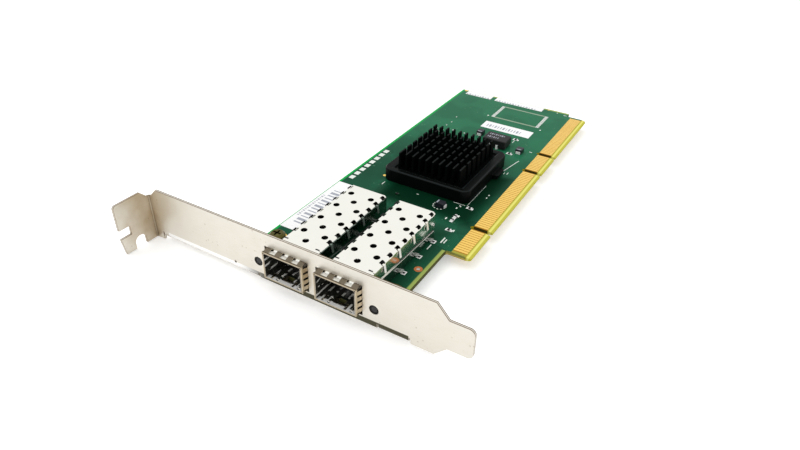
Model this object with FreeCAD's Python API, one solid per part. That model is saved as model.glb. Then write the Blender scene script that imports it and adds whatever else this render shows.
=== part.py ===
import FreeCAD, Part
import math
import os

# Dual port fibre channel host adapter: a low profile circuit board with an edge connector,
# a full height slot bracket, two small form pluggable cages and a cooled controller.
# Millimetres. While modelling, x runs along the bracket from the screw tab to the tongue,
# y runs from the bracket's outer face along the board, and z = 0 is the component face.
# The finished pieces are moved so that the origin is the centre of the foot of their box.
# Small holes and bends have flat sides, which keeps the mesh light.

# Bracket
BRACKET_THICKNESS = 0.86
BRACKET_WIDTH = 18.42
TAB_DEPTH = 13.6
TAB_DROP = 0.9
TAB_TOP_STEP = 0.5
TAB_CORNER = 1.2
TAB_FOLD_RADIUS = 0.5
TAB_RAMP = 2.6
SCREW_SLOT_WIDTH = 4.42
SCREW_SLOT_DEPTH = 4.2
SCREW_SLOT_OFFSET = 6.6
FINGER_LEAN = 0.9
FINGER_HEIGHT = 6.2
TAB_GAP_HEIGHT = 3.4
TAB_GAP_DEPTH = 4.2
RELIEF_WIDTH = 0.7
RELIEF_DEPTH = 0.5
END_CORNER = 4.2
SIDE_FLANGE_RADIUS = 1.6
MIDDLE_FLANGE_RADIUS = 1.07
SIDE_FLANGE_REACH = 4.0
MIDDLE_FLANGE_REACH = 8.0
PLAIN_END = 7.25
TAPER_LENGTH = 3.95
TONGUE_LENGTH = 7.62
TONGUE_WIDTH = 10.19
TONGUE_OFFSET = 3.8
TONGUE_CORNER = 1.9
COLLAR_HEIGHT = 1.17
COLLAR_WALL = 1.2
LUG_MARGIN = 4.0
MIDDLE_BREAK_MARGIN = 3.2
LOWER_BREAK_MARGIN = 0.85
OPENING_CLEARANCE = 0.85
GAUGE_HOLE_RADIUS = 0.45
GAUGE_HOLE_INSET = 10.0
GAUGE_HOLE_HEIGHT = 2.7

# Circuit board and edge connector
BOARD_THICKNESS = 1.57
BOARD_SETBACK = 36.1
BOARD_FRONT_GAP = 1.4
BOARD_MARGIN = 7.05
BOARD_FAR_MARGIN = 3.2
CONNECTOR_DEPTH = 9.0
CONNECTOR_CORNER = 0.8
CONNECTOR_FILLET = 1.0
PIN_ONE = 42.25
PIN_PITCH = 1.27
PIN_PLACES = 96
KEY_PLACES = (11, 49, 62)
PIN_END_MARGIN = 2.05
KEY_WIDTH = 1.78
KEY_DEPTH = 7.9
BEVEL_LENGTH = 1.95
BEVEL_DEPTH = 0.45
CONTACT_LENGTH = 5.1
CONTACT_WIDTH = 1.02
CONTACT_THICKNESS = 0.06

# Bracket screws
SCREW_RADIUS = 1.45
SCREW_HOLE_CLEARANCE = 0.15
SCREW_HEAD_RADIUS = 2.8
SCREW_HEAD_HEIGHT = 1.9
SCREW_HEAD_DOME = 0.8
RECESS_WIDTH = 0.7
RECESS_LENGTH = 3.0
RECESS_DEPTH = 1.0
SCREW_1_INSET = 4.3
SCREW_1_REACH = 14.25
SCREW_2_INSET = 3.2
SCREW_2_REACH = 10.45

# Pluggable module cages
CAGE_INSET = 22.15
CAGE_PITCH = 19.0
PORT_WIDTH = 13.46
PORT_HEIGHT = 8.8
CAGE_WALL = 0.25
BASE_WALL = 0.2
CAGE_SLIP = 0.02
CAGE_STANDOFF = 0.3
CAGE_REACH = 2.1
CAGE_LENGTH = 47.3
ROOF_BEND = 0.7
VENT_RADIUS = 1.1
VENT_COLUMN = 4.0
VENT_ROWS = 4
VENT_START = 11.75
VENT_REAR_MARGIN = 4.96
NOTCH_COUNT = 8
NOTCH_START = 15.1
NOTCH_LENGTH = 1.9
NOTCH_WIDTH = 1.3
NOTCH_HEIGHT = 0.9
LOCK_TAB_WIDTH = 0.9
LOCK_TAB_DROP = 2.8
LOCK_TAB_FLARE = 0.45
LOCK_TAB_STEP_COUNT = 2
SLIT_START = 9.7
SLIT_LENGTH = 1.8
SLIT_WIDTH = 0.3
FLOOR_GAP = 2.75
LATCH_WINDOW = 3.6
LATCH_START = 1.3
FLOOR_LIP = 0.35
FLOOR_SLOT_OFFSETS = (2.9, 5.0)
FLOOR_SLOT_WIDTH = 0.8
FLOOR_SLOT_LENGTH = 2.6
SKIRT_START = 12.5
SKIRT_REAR_MARGIN = 1.0
SKIRT_FRONT_RISE = 4.4
SKIRT_REAR_RISE = 2.6
FOOT_COUNT = 4
FOOT_START = 14.8
FOOT_REAR_MARGIN = 3.1
FOOT_WIDTH = 1.8
FOOT_REACH = 1.0
CAGE_PIN = 0.5
PIN_CLEARANCE = 0.1
PIN_TO_FLANGE_GAP = 0.5
REAR_WALL_GAP = 0.6

# Spring finger collar round each cage mouth
COLLAR_SHEET = 0.2
COLLAR_BAND = 0.6
FINGER_RISE = 0.6
FINGER_CREST = 2.35
FINGER_LENGTH = 4.1
FINGER_END_RISE = 0.12
WIDE_FINGER_COUNT = 4
HIGH_FINGER_COUNT = 4
FINGER_WINDOW_WIDE = 2.3
FINGER_WINDOW_HIGH = 0.8

# Board connector inside each cage
HOUSING_WIDTH = 11.2
HOUSING_LENGTH = 8.4
HOUSING_HEIGHT = 5.2
HOUSING_BEVEL = 0.5
HOUSING_REAR_GAP = 0.9
SLOT_WIDTH = 9.6
SLOT_HEIGHT = 1.3
SLOT_LIFT = 2.4
SLOT_DEPTH = 6.0
BLADE_COUNT = 10
BLADE_PITCH = 0.8
BLADE_WIDTH = 0.36
BLADE_THICKNESS = 0.18
BLADE_LENGTH = 5.0
BLADE_FOOT = 0.8

# Controller, thermal pad, heat sink and its clip frame
SINK_INSET = 31.3
SINK_REACH = 84.95
SUBSTRATE_SIZE = 29.0
SUBSTRATE_THICKNESS = 1.1
LID_MARGIN = 2.5
LID_THICKNESS = 1.2
LID_DRAFT = 0.5
PAD_THICKNESS = 0.2
SINK_OVERHANG_WIDE = 0.6
SINK_OVERHANG_LONG = 1.2
SINK_BASE_THICKNESS = 2.0
PIN_FIN_HEIGHT = 6.7
PIN_FIN_COLUMN_COUNT = 10
PIN_FIN_ROW_COUNT = 7
PIN_FIN_MARGIN_WIDE = 1.235
PIN_FIN_MARGIN_LONG = 0.825
PIN_FIN_WIDTH = 0.95
PIN_FIN_LENGTH = 2.6
FRONT_FIN_LENGTH = 4.6
PIN_FIN_TOP_WIDTH = 0.6
FRAME_WALL = 2.7
FRAME_CLEARANCE = 0.2
FRAME_HEIGHT = 5.2
FRAME_CORNER = 3.0
FRAME_ROUND = 0.5
FRAME_BEVEL = 0.9
FRAME_LIP = 0.9
FRAME_LIP_CLEARANCE = 0.1
LEVER_LENGTH = 7.0
LEVER_REACH = 2.2
LEVER_THICKNESS = 1.4
LEVER_LIFT = 0.6
LEVER_OFFSET = 7.5

# Clock oscillator
OSCILLATOR_INSET = 39.0
OSCILLATOR_GAP = 9.9
OSCILLATOR_WIDTH = 10.4
OSCILLATOR_LENGTH = 7.2
OSCILLATOR_HEIGHT = 3.9
OSCILLATOR_LIFT = 0.4
OSCILLATOR_BEVEL = 0.3
J_LEAD_PITCH = 3.0
J_LEAD_WIDTH = 0.9
J_LEAD_THICKNESS = 0.2
J_LEAD_HEIGHT = 1.9
J_LEAD_FOOT = 1.0

# Moulded capacitors, each placed across and along from the controller's middle and turned
CAPACITOR_LENGTH = 3.5
CAPACITOR_WIDTH = 2.7
CAPACITOR_HEIGHT = 1.9
CAPACITOR_DRAFT = 0.25
CAPACITOR_LIFT = 0.1
TERMINAL_WIDTH = 1.9
TERMINAL_THICKNESS = 0.2
TERMINAL_HEIGHT = 1.1
CAPACITOR_PLACES = ((-2.4, 38.25, 90), (18.7, 31.15, 90), (10.2, -24.25, 0))

# Chip resistors, each placed across and along from the controller's middle and turned
CHIP_LENGTH = 1.6
CHIP_WIDTH = 0.85
CHIP_HEIGHT = 0.5
CHIP_END = 0.35
CHIP_END_WRAP = 0.05
CHIP_PLACES = (
    (19.7, -36.25, 0),
    (17.9, -30.05, 90),
    (17.9, -27.55, 90),
    (19.9, -19.95, 0),
    (15.6, 27.55, 0),
    (-7.3, -25.45, 0),
    (-21.8, 32.05, 90),
    (-18.8, 32.05, 90),
    (13.0, 41.35, 0),
)

# Status lights behind the bracket
LED_INSET = 10.9
LED_MARGIN = 4.7
LED_HEIGHT = 3.3
LED_HOLE_RADIUS = 1.6
LED_HOLE_CLEARANCE = 0.15
LED_LENS_RECESS = 0.2
LED_HOUSING_WIDTH = 4.4
LED_HOUSING_LENGTH = 5.2
LED_HOUSING_TOP = 5.6
LED_HOUSING_SETBACK = 0.3
LED_HOUSING_BEVEL = 0.4
LED_LEAD_PITCH = 2.54
LED_LEAD = 0.5

# Labels, and the plated hole beside the lower cage
LABEL_THICKNESS = 0.1
BARCODE_LABEL_INSET = 0.4
BARCODE_LABEL_WIDTH = 13.2
BARCODE_LABEL_REACH = 20.25
BARCODE_LABEL_LENGTH = 35.4
SERIAL_LABEL_INSET = 25.5
SERIAL_LABEL_WIDTH = 22.9
SERIAL_LABEL_GAP = 9.4
SERIAL_LABEL_LENGTH = 6.9
END_LABEL_LENGTH = 4.4
END_LABEL_GAP = 0.4
END_LABEL_SPANS = ((3.4, 13.4), (19.0, 24.3))
PLATED_HOLE_MARGIN = 2.7
PLATED_HOLE_REACH = 24.25
PLATED_HOLE_RADIUS = 0.6

# Flat sides of small holes, share of a slot's half width that its rounded end takes,
# and the smallest length that counts
HOLE_SIDE_COUNT = 12
PIN_HOLE_SIDE_COUNT = 8
SLOT_END_RATIO = 0.98
TOLERANCE = 1e-6

# Places that follow from the sizes above
plate_inner = BRACKET_THICKNESS
board_bottom = -BOARD_THICKNESS
flange_top = board_bottom - COLLAR_HEIGHT
plate_low = flange_top - BRACKET_THICKNESS
plate_high = plate_low + BRACKET_WIDTH
tab_low = plate_low - TAB_DROP
tab_high = plate_high - TAB_TOP_STEP

cage_half = PORT_WIDTH / 2 + BASE_WALL + CAGE_SLIP + CAGE_WALL
cage_low = CAGE_STANDOFF
port_low = cage_low + BASE_WALL
port_high = port_low + PORT_HEIGHT
cage_high = port_high + CAGE_WALL
cage_mouth = -CAGE_REACH
cage_rear = cage_mouth + CAGE_LENGTH
housing_rear = cage_rear - CAGE_WALL - HOUSING_REAR_GAP
housing_front = housing_rear - HOUSING_LENGTH
vent_pitch = (CAGE_LENGTH - VENT_START - VENT_REAR_MARGIN) / (VENT_ROWS - 0.5)
foot_pitch = (CAGE_LENGTH - FOOT_START - FOOT_REAR_MARGIN) / (FOOT_COUNT - 1)
pin_low = flange_top + PIN_TO_FLANGE_GAP
cage_pin_offset = cage_half + FOOT_REACH / 2
opening_half = cage_half + OPENING_CLEARANCE

board_upper = BOARD_SETBACK
board_front = plate_inner + BOARD_FRONT_GAP
cage_centres = [board_upper + CAGE_INSET + CAGE_PITCH * index for index in range(2)]
board_main = cage_centres[-1] + cage_half + BOARD_MARGIN
board_edge = board_main + CONNECTOR_DEPTH
connector_front = PIN_ONE - PIN_END_MARGIN
connector_rear = PIN_ONE + PIN_PITCH * (PIN_PLACES - 1) + PIN_END_MARGIN
board_far = connector_rear + BOARD_FAR_MARGIN

flange_breaks = (
    END_CORNER + RELIEF_WIDTH,
    cage_centres[0] - opening_half - MIDDLE_BREAK_MARGIN,
    board_main - LOWER_BREAK_MARGIN,
    board_edge,
)
taper_start = board_edge + RELIEF_WIDTH + PLAIN_END
tongue_start = taper_start + TAPER_LENGTH
bracket_end = tongue_start + TONGUE_LENGTH
tongue_low = plate_low + TONGUE_OFFSET
tongue_high = tongue_low + TONGUE_WIDTH

led_centres = (board_upper + LED_INSET, cage_centres[-1] + cage_half + LED_MARGIN)
screw_places = (
    (board_upper + SCREW_1_INSET, board_front + SCREW_1_REACH),
    (board_main - SCREW_2_INSET, board_front + SCREW_2_REACH),
)
screw_hole_radius = SCREW_RADIUS + SCREW_HOLE_CLEARANCE
sink_x = board_upper + SINK_INSET
sink_y = board_front + SINK_REACH
lid_size = SUBSTRATE_SIZE - 2 * LID_MARGIN
sink_base_width = SUBSTRATE_SIZE + 2 * SINK_OVERHANG_WIDE
sink_base_length = SUBSTRATE_SIZE + 2 * SINK_OVERHANG_LONG
frame_well_width = sink_base_width + 2 * FRAME_CLEARANCE
frame_well_length = sink_base_length + 2 * FRAME_CLEARANCE
frame_mouth_width = frame_well_width - 2 * FRAME_LIP
frame_width = frame_well_width + 2 * FRAME_WALL
frame_length = frame_well_length + 2 * FRAME_WALL
sink_low = SUBSTRATE_THICKNESS + LID_THICKNESS + PAD_THICKNESS
fin_low = sink_low + SINK_BASE_THICKNESS
sink_high = fin_low + PIN_FIN_HEIGHT
oscillator_low = sink_y + frame_length / 2 + OSCILLATOR_GAP
oscillator_y = oscillator_low + J_LEAD_THICKNESS + OSCILLATOR_LENGTH / 2
serial_label_low = oscillator_y + OSCILLATOR_LENGTH / 2 + J_LEAD_THICKNESS + SERIAL_LABEL_GAP
plated_hole_place = (board_main - PLATED_HOLE_MARGIN, board_front + PLATED_HOLE_REACH)

origin = FreeCAD.Vector(bracket_end / 2, (board_far - TAB_DEPTH) / 2, tab_low)


def vec(x, y, z):
    return FreeCAD.Vector(x, y, z)


def centred(middle, size):
    return middle - size / 2, middle + size / 2


def box(x0, x1, y0, y1, z0, z1):
    return Part.makeBox(x1 - x0, y1 - y0, z1 - z0, vec(x0, y0, z0))


def slab(centre_x, centre_y, width, length, z0, z1):
    """Upright block centred on a point of the board."""
    return box(*centred(centre_x, width), *centred(centre_y, length), z0, z1)


def rod(radius, start, end):
    direction = end - start
    return Part.makeCylinder(radius, direction.Length, start, direction)


def many_sided(radius, sides, start, end):
    """Straight prism with flat sides, for a small round hole."""
    axis = end - start
    across = vec(0, 0, 1) if abs(axis.z) < TOLERANCE else vec(1, 0, 0)
    turns = [FreeCAD.Rotation(axis, 360 * (side + 0.5) / sides) for side in range(sides)]
    corners = [start + turn.multVec(across * radius) for turn in turns]
    return Part.Face(Part.makePolygon(corners + corners[:1])).extrude(axis)


def on_xy(z):
    return lambda a, b: vec(a, b, z)


def on_xz(y):
    return lambda a, b: vec(a, y, b)


def on_yz(x):
    return lambda a, b: vec(x, a, b)


def rounded_face(corners, place):
    """Face with straight sides, each corner (a, b, radius) rounded by a tangent arc."""
    stations = []
    for index, (a, b, radius) in enumerate(corners):
        here = vec(a, b, 0)
        before = vec(*corners[index - 1][:2], 0)
        after = vec(*corners[(index + 1) % len(corners)][:2], 0)
        if radius <= 0:
            stations.append((here, None, here))
            continue
        back = (before - here).normalize()
        ahead = (after - here).normalize()
        half_angle = back.getAngle(ahead) / 2
        setback = radius / math.tan(half_angle)
        inward = (back + ahead).normalize()
        middle = here + inward * (radius / math.sin(half_angle) - radius)
        stations.append((here + back * setback, middle, here + ahead * setback))
    edges = []
    for index, (start, middle, end) in enumerate(stations):
        if middle is not None:
            edges.append(Part.Arc(place(*start[:2]), place(*middle[:2]), place(*end[:2])).toShape())
        following = stations[(index + 1) % len(stations)][0]
        if (following - end).Length > TOLERANCE:
            edges.append(Part.LineSegment(place(*end[:2]), place(*following[:2])).toShape())
    return Part.Face(Part.Wire(edges))


def prism(corners, place, direction):
    return rounded_face(corners, place).extrude(direction)


def sharp(points):
    return [(a, b, 0) for a, b in points]


def bevelled(corners):
    """Outline with each corner (a, b, setback) cut off straight."""
    points = []
    for index, (a, b, setback) in enumerate(corners):
        if setback <= 0:
            points.append((a, b))
            continue
        here = vec(a, b, 0)
        for neighbour in (corners[index - 1], corners[(index + 1) % len(corners)]):
            point = here + (vec(*neighbour[:2], 0) - here).normalize() * setback
            points.append((point.x, point.y))
    return sharp(points)


def rectangle(a0, a1, b0, b1, radius=0):
    return [(a0, b0, radius), (a1, b0, radius), (a1, b1, radius), (a0, b1, radius)]


def fused(shapes):
    return shapes[0].multiFuse(shapes[1:]).removeSplitter()


def mirrored_pair(shape, centre_x):
    return [shape, shape.mirror(vec(centre_x, 0, 0), vec(1, 0, 0))]


def turned(shape, place, angle):
    shape = shape.copy()
    shape.rotate(vec(0, 0, 0), vec(0, 0, 1), angle)
    shape.translate(vec(place[0], place[1], 0))
    return shape


def export(name, *solids):
    """Write one node, a single solid or a group of separate solids, in the finished frame."""
    shape = solids[0] if len(solids) == 1 else Part.makeCompound(list(solids))
    shape = shape.copy()
    shape.translate(origin * -1)
    shape.exportStep(os.path.join("parts", name + ".step"))


def pin_places():
    keyed = [place + step for place in KEY_PLACES for step in (0, 1)]
    return [PIN_ONE + PIN_PITCH * place for place in range(PIN_PLACES) if place not in keyed]


def cage_feet(centre):
    """Plan places of the press fit pins of one cage."""
    rows = [cage_mouth + FOOT_START + foot_pitch * row for row in range(FOOT_COUNT)]
    return [(centre + side * cage_pin_offset, y) for side in (-1, 1) for y in rows]


def led_lead_places(centre):
    middle = board_front + LED_HOUSING_SETBACK + LED_HOUSING_LENGTH / 2
    return [(centre + side * LED_LEAD_PITCH / 2, middle) for side in (-1, 1)]


def circuit_board():
    outline = [
        (board_upper, board_front, 0),
        (board_main, board_front, 0),
        (board_main, connector_front, CONNECTOR_FILLET),
        (board_edge, connector_front, CONNECTOR_CORNER),
        (board_edge, connector_rear, CONNECTOR_CORNER),
        (board_main, connector_rear, CONNECTOR_FILLET),
        (board_main, board_far, 0),
        (board_upper, board_far, 0),
    ]
    board = prism(outline, on_xy(board_bottom), vec(0, 0, BOARD_THICKNESS))
    cuts = []
    bevel_start = board_edge - BEVEL_LENGTH
    for face, inward in ((0, -1), (board_bottom, 1)):
        wedge = [(bevel_start, face), (board_edge, face + inward * BEVEL_DEPTH), (board_edge, face)]
        cuts.append(prism(sharp(wedge), on_xz(connector_front), vec(0, connector_rear - connector_front, 0)))
    for place in KEY_PLACES:
        middle = PIN_ONE + PIN_PITCH * (place + 0.5)
        inner = board_edge - KEY_DEPTH
        sides = centred(middle, KEY_WIDTH)
        end_radius = KEY_WIDTH / 2 * SLOT_END_RATIO
        key = [
            (inner, sides[0], end_radius),
            (board_edge, sides[0], 0),
            (board_edge, sides[1], 0),
            (inner, sides[1], end_radius),
        ]
        cuts.append(prism(key, on_xy(board_bottom), vec(0, 0, BOARD_THICKNESS)))
    holes = [(place, screw_hole_radius) for place in screw_places]
    holes.append((plated_hole_place, PLATED_HOLE_RADIUS))
    for (x, y), radius in holes:
        cuts.append(many_sided(radius, HOLE_SIDE_COUNT, vec(x, y, board_bottom), vec(x, y, 0)))
    pins = [(place, CAGE_PIN) for centre in cage_centres for place in cage_feet(centre)]
    pins += [(place, LED_LEAD) for centre in led_centres for place in led_lead_places(centre)]
    for (x, y), width in pins:
        radius = width * math.sqrt(0.5) + PIN_CLEARANCE
        cuts.append(many_sided(radius, PIN_HOLE_SIDE_COUNT, vec(x, y, board_bottom), vec(x, y, 0)))
    return board.cut(cuts)


def edge_contacts(face, outward):
    """Gold contacts on one face of the edge connector, one strip at each pin place."""
    outer = board_edge - BEVEL_LENGTH
    low, high = sorted((face, face + outward * CONTACT_THICKNESS))
    half = CONTACT_WIDTH / 2
    return [box(outer - CONTACT_LENGTH, outer, y - half, y + half, low, high) for y in pin_places()]


def bracket():
    t = BRACKET_THICKNESS
    fold = t + TAB_FOLD_RADIUS
    ramp_low = tab_high - TAB_RAMP
    span = vec(0, 0, plate_high - tab_low)
    bend = [
        (bracket_end, 0, 0),
        (t, 0, TAB_FOLD_RADIUS),
        (t, -TAB_DEPTH, 0),
        (0, -TAB_DEPTH, 0),
        (0, t, fold),
        (bracket_end, t, 0),
    ]
    sheet = prism(bend, on_xy(tab_low), span)
    side_edge = plate_low + SIDE_FLANGE_RADIUS
    middle_edge = plate_low + MIDDLE_FLANGE_RADIUS
    relief = side_edge + RELIEF_DEPTH
    first, second, third, last = flange_breaks
    plate_outline = [
        (-t, tab_low),
        (first - RELIEF_WIDTH, tab_low),
        (first - RELIEF_WIDTH, relief),
        (first, relief),
        (first, side_edge),
        (second - RELIEF_WIDTH, side_edge),
        (second - RELIEF_WIDTH, relief),
        (second, relief),
        (second, middle_edge),
        (third - RELIEF_WIDTH, middle_edge),
        (third - RELIEF_WIDTH, relief),
        (third, relief),
        (third, side_edge),
        (last, side_edge),
        (last, relief),
        (last + RELIEF_WIDTH, relief),
        (last + RELIEF_WIDTH, plate_low),
        (taper_start, plate_low),
        (tongue_start, tongue_low),
    ]
    outline = sharp(plate_outline)
    outline += [(bracket_end, tongue_low, TONGUE_CORNER), (bracket_end, tongue_high, TONGUE_CORNER)]
    outline += sharp([(tongue_start, tongue_high), (taper_start, plate_high)])
    outline += sharp([(fold + plate_high - ramp_low, plate_high), (fold, ramp_low), (-t, ramp_low)])
    plate = sheet.common(prism(outline, on_xz(-TAB_FOLD_RADIUS), vec(0, fold, 0)))

    slot_half = SCREW_SLOT_WIDTH / 2
    slot_top = tab_low + SCREW_SLOT_DEPTH
    slot_near = -SCREW_SLOT_OFFSET + slot_half
    slot_far = -SCREW_SLOT_OFFSET - slot_half
    finger_top = tab_low + FINGER_HEIGHT
    gap_inner = -TAB_DEPTH + TAB_GAP_DEPTH
    tab_outline = [
        (-TAB_FOLD_RADIUS, tab_low, 0),
        (slot_near, tab_low, 0),
        (slot_near, slot_top, slot_half * SLOT_END_RATIO),
        (slot_far, slot_top, slot_half * SLOT_END_RATIO),
        (slot_far, tab_low, 0),
        (-TAB_DEPTH + FINGER_LEAN, tab_low, 0),
        (-TAB_DEPTH, finger_top, 0),
        (gap_inner, finger_top, 0),
        (gap_inner, finger_top + TAB_GAP_HEIGHT, 0),
        (-TAB_DEPTH, finger_top + TAB_GAP_HEIGHT, 0),
        (-TAB_DEPTH, tab_high, TAB_CORNER),
        (-TAB_FOLD_RADIUS - TAB_RAMP, tab_high, 0),
        (-TAB_FOLD_RADIUS, ramp_low, 0),
    ]
    tab = prism(tab_outline, on_yz(0), vec(t, 0, 0))

    def flange(start, end, radius, reach):
        section = [
            (0, plate_low + radius, 0),
            (0, plate_low, radius),
            (reach, plate_low, 0),
            (reach, flange_top, 0),
            (t, flange_top, radius - t),
            (t, plate_low + radius, 0),
        ]
        return prism(section, on_yz(start), vec(end - start, 0, 0))

    pieces = [plate, tab]
    pieces.append(flange(first, second - RELIEF_WIDTH, SIDE_FLANGE_RADIUS, SIDE_FLANGE_REACH))
    pieces.append(flange(second, third - RELIEF_WIDTH, MIDDLE_FLANGE_RADIUS, MIDDLE_FLANGE_REACH))
    pieces.append(flange(third, last, SIDE_FLANGE_RADIUS, SIDE_FLANGE_REACH))
    lug_starts = (SIDE_FLANGE_REACH, MIDDLE_FLANGE_REACH)
    holes = []
    for (x, y), start in zip(screw_places, lug_starts):
        lug = bevelled([
            (x - LUG_MARGIN, start - t, 0),
            (x + LUG_MARGIN, start - t, 0),
            (x + LUG_MARGIN, y + LUG_MARGIN, LUG_MARGIN / 2),
            (x - LUG_MARGIN, y + LUG_MARGIN, LUG_MARGIN / 2),
        ])
        pieces.append(prism(lug, on_xy(plate_low), vec(0, 0, t)))
        low, seat, top = (vec(x, y, z) for z in (plate_low, flange_top, board_bottom))
        pieces.append(many_sided(SCREW_RADIUS + COLLAR_WALL, HOLE_SIDE_COUNT, seat, top))
        holes.append(many_sided(SCREW_RADIUS, HOLE_SIDE_COUNT, low, top))
    for centre in cage_centres:
        sides = (centre - opening_half, centre + opening_half)
        holes.append(box(*sides, 0, t, cage_low - OPENING_CLEARANCE, cage_high + OPENING_CLEARANCE))
    for centre in led_centres:
        holes.append(rod(LED_HOLE_RADIUS, vec(centre, 0, LED_HEIGHT), vec(centre, t, LED_HEIGHT)))
    gauge = vec(led_centres[0] - GAUGE_HOLE_INSET, 0, plate_low + GAUGE_HOLE_HEIGHT)
    holes.append(many_sided(GAUGE_HOLE_RADIUS, PIN_HOLE_SIDE_COUNT, gauge, gauge + vec(0, t, 0)))
    return fused(pieces).cut(holes).removeSplitter()


def bracket_screw(x, y):
    """Pan head screw with a cross recess, from the component side into the flange's collar."""
    seat = vec(x, y, 0)
    shoulder = vec(0, 0, SCREW_HEAD_HEIGHT - SCREW_HEAD_DOME)
    crown = SCREW_HEAD_RADIUS - SCREW_HEAD_DOME
    shank = many_sided(SCREW_RADIUS, HOLE_SIDE_COUNT, vec(x, y, plate_low), seat)
    head = rod(SCREW_HEAD_RADIUS, seat, seat + shoulder)
    dome = Part.makeCone(SCREW_HEAD_RADIUS, crown, SCREW_HEAD_DOME, seat + shoulder)
    recess_low = SCREW_HEAD_HEIGHT - RECESS_DEPTH
    cross = [
        slab(x, y, RECESS_LENGTH, RECESS_WIDTH, recess_low, SCREW_HEAD_HEIGHT),
        slab(x, y, RECESS_WIDTH, RECESS_LENGTH, recess_low, SCREW_HEAD_HEIGHT),
    ]
    return fused([shank, head, dome]).cut(cross)


def notch_rows():
    return [cage_mouth + NOTCH_START + vent_pitch / 2 * row for row in range(NOTCH_COUNT)]


def cage_cover(centre):
    """Folded roof, sides and rear wall, with vent holes and notches along the roof's edges."""
    low = port_low
    inner = cage_half - CAGE_WALL
    inner_bend = ROOF_BEND - CAGE_WALL * (2 - math.sqrt(2))
    section = bevelled([
        (centre - cage_half, low, 0),
        (centre - cage_half, cage_high, ROOF_BEND),
        (centre + cage_half, cage_high, ROOF_BEND),
        (centre + cage_half, low, 0),
        (centre + inner, low, 0),
        (centre + inner, port_high, inner_bend),
        (centre - inner, port_high, inner_bend),
        (centre - inner, low, 0),
    ])
    folded = prism(section, on_xz(cage_mouth), vec(0, CAGE_LENGTH, 0))
    rear_low = low + REAR_WALL_GAP
    rear = bevelled([
        (centre - inner, rear_low, 0),
        (centre - inner, port_high, inner_bend),
        (centre + inner, port_high, inner_bend),
        (centre + inner, rear_low, 0),
    ])
    cover = fused([folded, prism(rear, on_xz(cage_rear - CAGE_WALL), vec(0, CAGE_WALL, 0))])
    cuts = []
    for column in (-1, 0, 1):
        first = VENT_START + abs(column) * vent_pitch / 2
        for row in range(VENT_ROWS):
            vent = vec(centre + column * VENT_COLUMN, cage_mouth + first + row * vent_pitch, port_high)
            cuts.append(many_sided(VENT_RADIUS, HOLE_SIDE_COUNT, vent, vent + vec(0, 0, CAGE_WALL)))
    outer = centre + cage_half
    for y in notch_rows():
        half = NOTCH_LENGTH / 2
        notch = box(outer - NOTCH_WIDTH, outer, y - half, y + half, cage_high - NOTCH_HEIGHT, cage_high)
        cuts += mirrored_pair(notch, centre)
    slit_y = cage_mouth + SLIT_START
    slit = box(outer - SLIT_LENGTH, outer, slit_y, slit_y + SLIT_WIDTH, cage_high - NOTCH_HEIGHT, cage_high)
    cuts += mirrored_pair(slit, centre)
    return cover.cut(cuts)


def cage_base(centre):
    """Channel inside the cover, lock tabs through its notches, feet and skirts outside it, pins."""
    outer = PORT_WIDTH / 2 + BASE_WALL
    inner = PORT_WIDTH / 2
    wall_high = port_high - CAGE_SLIP
    section = sharp([
        (centre - outer, cage_low),
        (centre + outer, cage_low),
        (centre + outer, wall_high - ROOF_BEND),
        (centre + inner, wall_high - ROOF_BEND),
        (centre + inner, port_low),
        (centre - inner, port_low),
        (centre - inner, wall_high - ROOF_BEND),
        (centre - outer, wall_high - ROOF_BEND),
    ])
    rear = cage_rear - CAGE_WALL - CAGE_SLIP
    channel = prism(section, on_xz(cage_mouth), vec(0, rear - cage_mouth, 0))
    floor_end = housing_front - FLOOR_GAP
    latch = cage_mouth + LATCH_START
    cuts = [
        box(centre - inner, centre + inner, floor_end, rear, cage_low, port_low),
        slab(centre, latch + LATCH_WINDOW / 2, LATCH_WINDOW, LATCH_WINDOW, cage_low, port_low),
    ]
    slot_front = cage_mouth + FLOOR_LIP
    for offset in FLOOR_SLOT_OFFSETS:
        sides = centred(centre + offset, FLOOR_SLOT_WIDTH)
        slot = box(*sides, slot_front, slot_front + FLOOR_SLOT_LENGTH, cage_low, port_low)
        cuts += mirrored_pair(slot, centre)
    channel = channel.cut(cuts)
    pieces = [channel]
    outside = centre + cage_half + CAGE_SLIP
    tab_high_z = cage_high - NOTCH_HEIGHT + BASE_WALL + CAGE_SLIP
    for y in notch_rows()[::LOCK_TAB_STEP_COUNT]:
        half = LOCK_TAB_WIDTH / 2
        tab = sharp([
            (centre + inner, wall_high - ROOF_BEND - BASE_WALL),
            (centre + inner, tab_high_z),
            (outside + BASE_WALL, tab_high_z),
            (outside + BASE_WALL + LOCK_TAB_FLARE, tab_high_z - LOCK_TAB_DROP),
            (outside + LOCK_TAB_FLARE, tab_high_z - LOCK_TAB_DROP),
            (outside, tab_high_z - BASE_WALL),
            (centre + outer, tab_high_z - BASE_WALL),
            (centre + outer, wall_high - ROOF_BEND - BASE_WALL),
        ])
        pieces += mirrored_pair(prism(tab, on_xz(y - half), vec(0, LOCK_TAB_WIDTH, 0)), centre)
    skirt_front = cage_mouth + SKIRT_START
    skirt_rear = cage_rear - SKIRT_REAR_MARGIN
    skirt = sharp([
        (skirt_front, cage_low),
        (skirt_rear, cage_low),
        (skirt_rear, cage_low + SKIRT_REAR_RISE),
        (skirt_front, cage_low + SKIRT_FRONT_RISE),
    ])
    pieces += mirrored_pair(prism(skirt, on_yz(outside), vec(BASE_WALL, 0, 0)), centre)
    for x, y in cage_feet(centre):
        side = 1 if x > centre else -1
        root, tip = sorted((centre + side * inner, x + side * FOOT_REACH / 2))
        pieces.append(box(root, tip, y - FOOT_WIDTH / 2, y + FOOT_WIDTH / 2, cage_low, port_low - CAGE_SLIP))
        pieces.append(slab(x, y, CAGE_PIN, CAGE_PIN, pin_low, cage_low))
    return fused(pieces)


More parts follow.
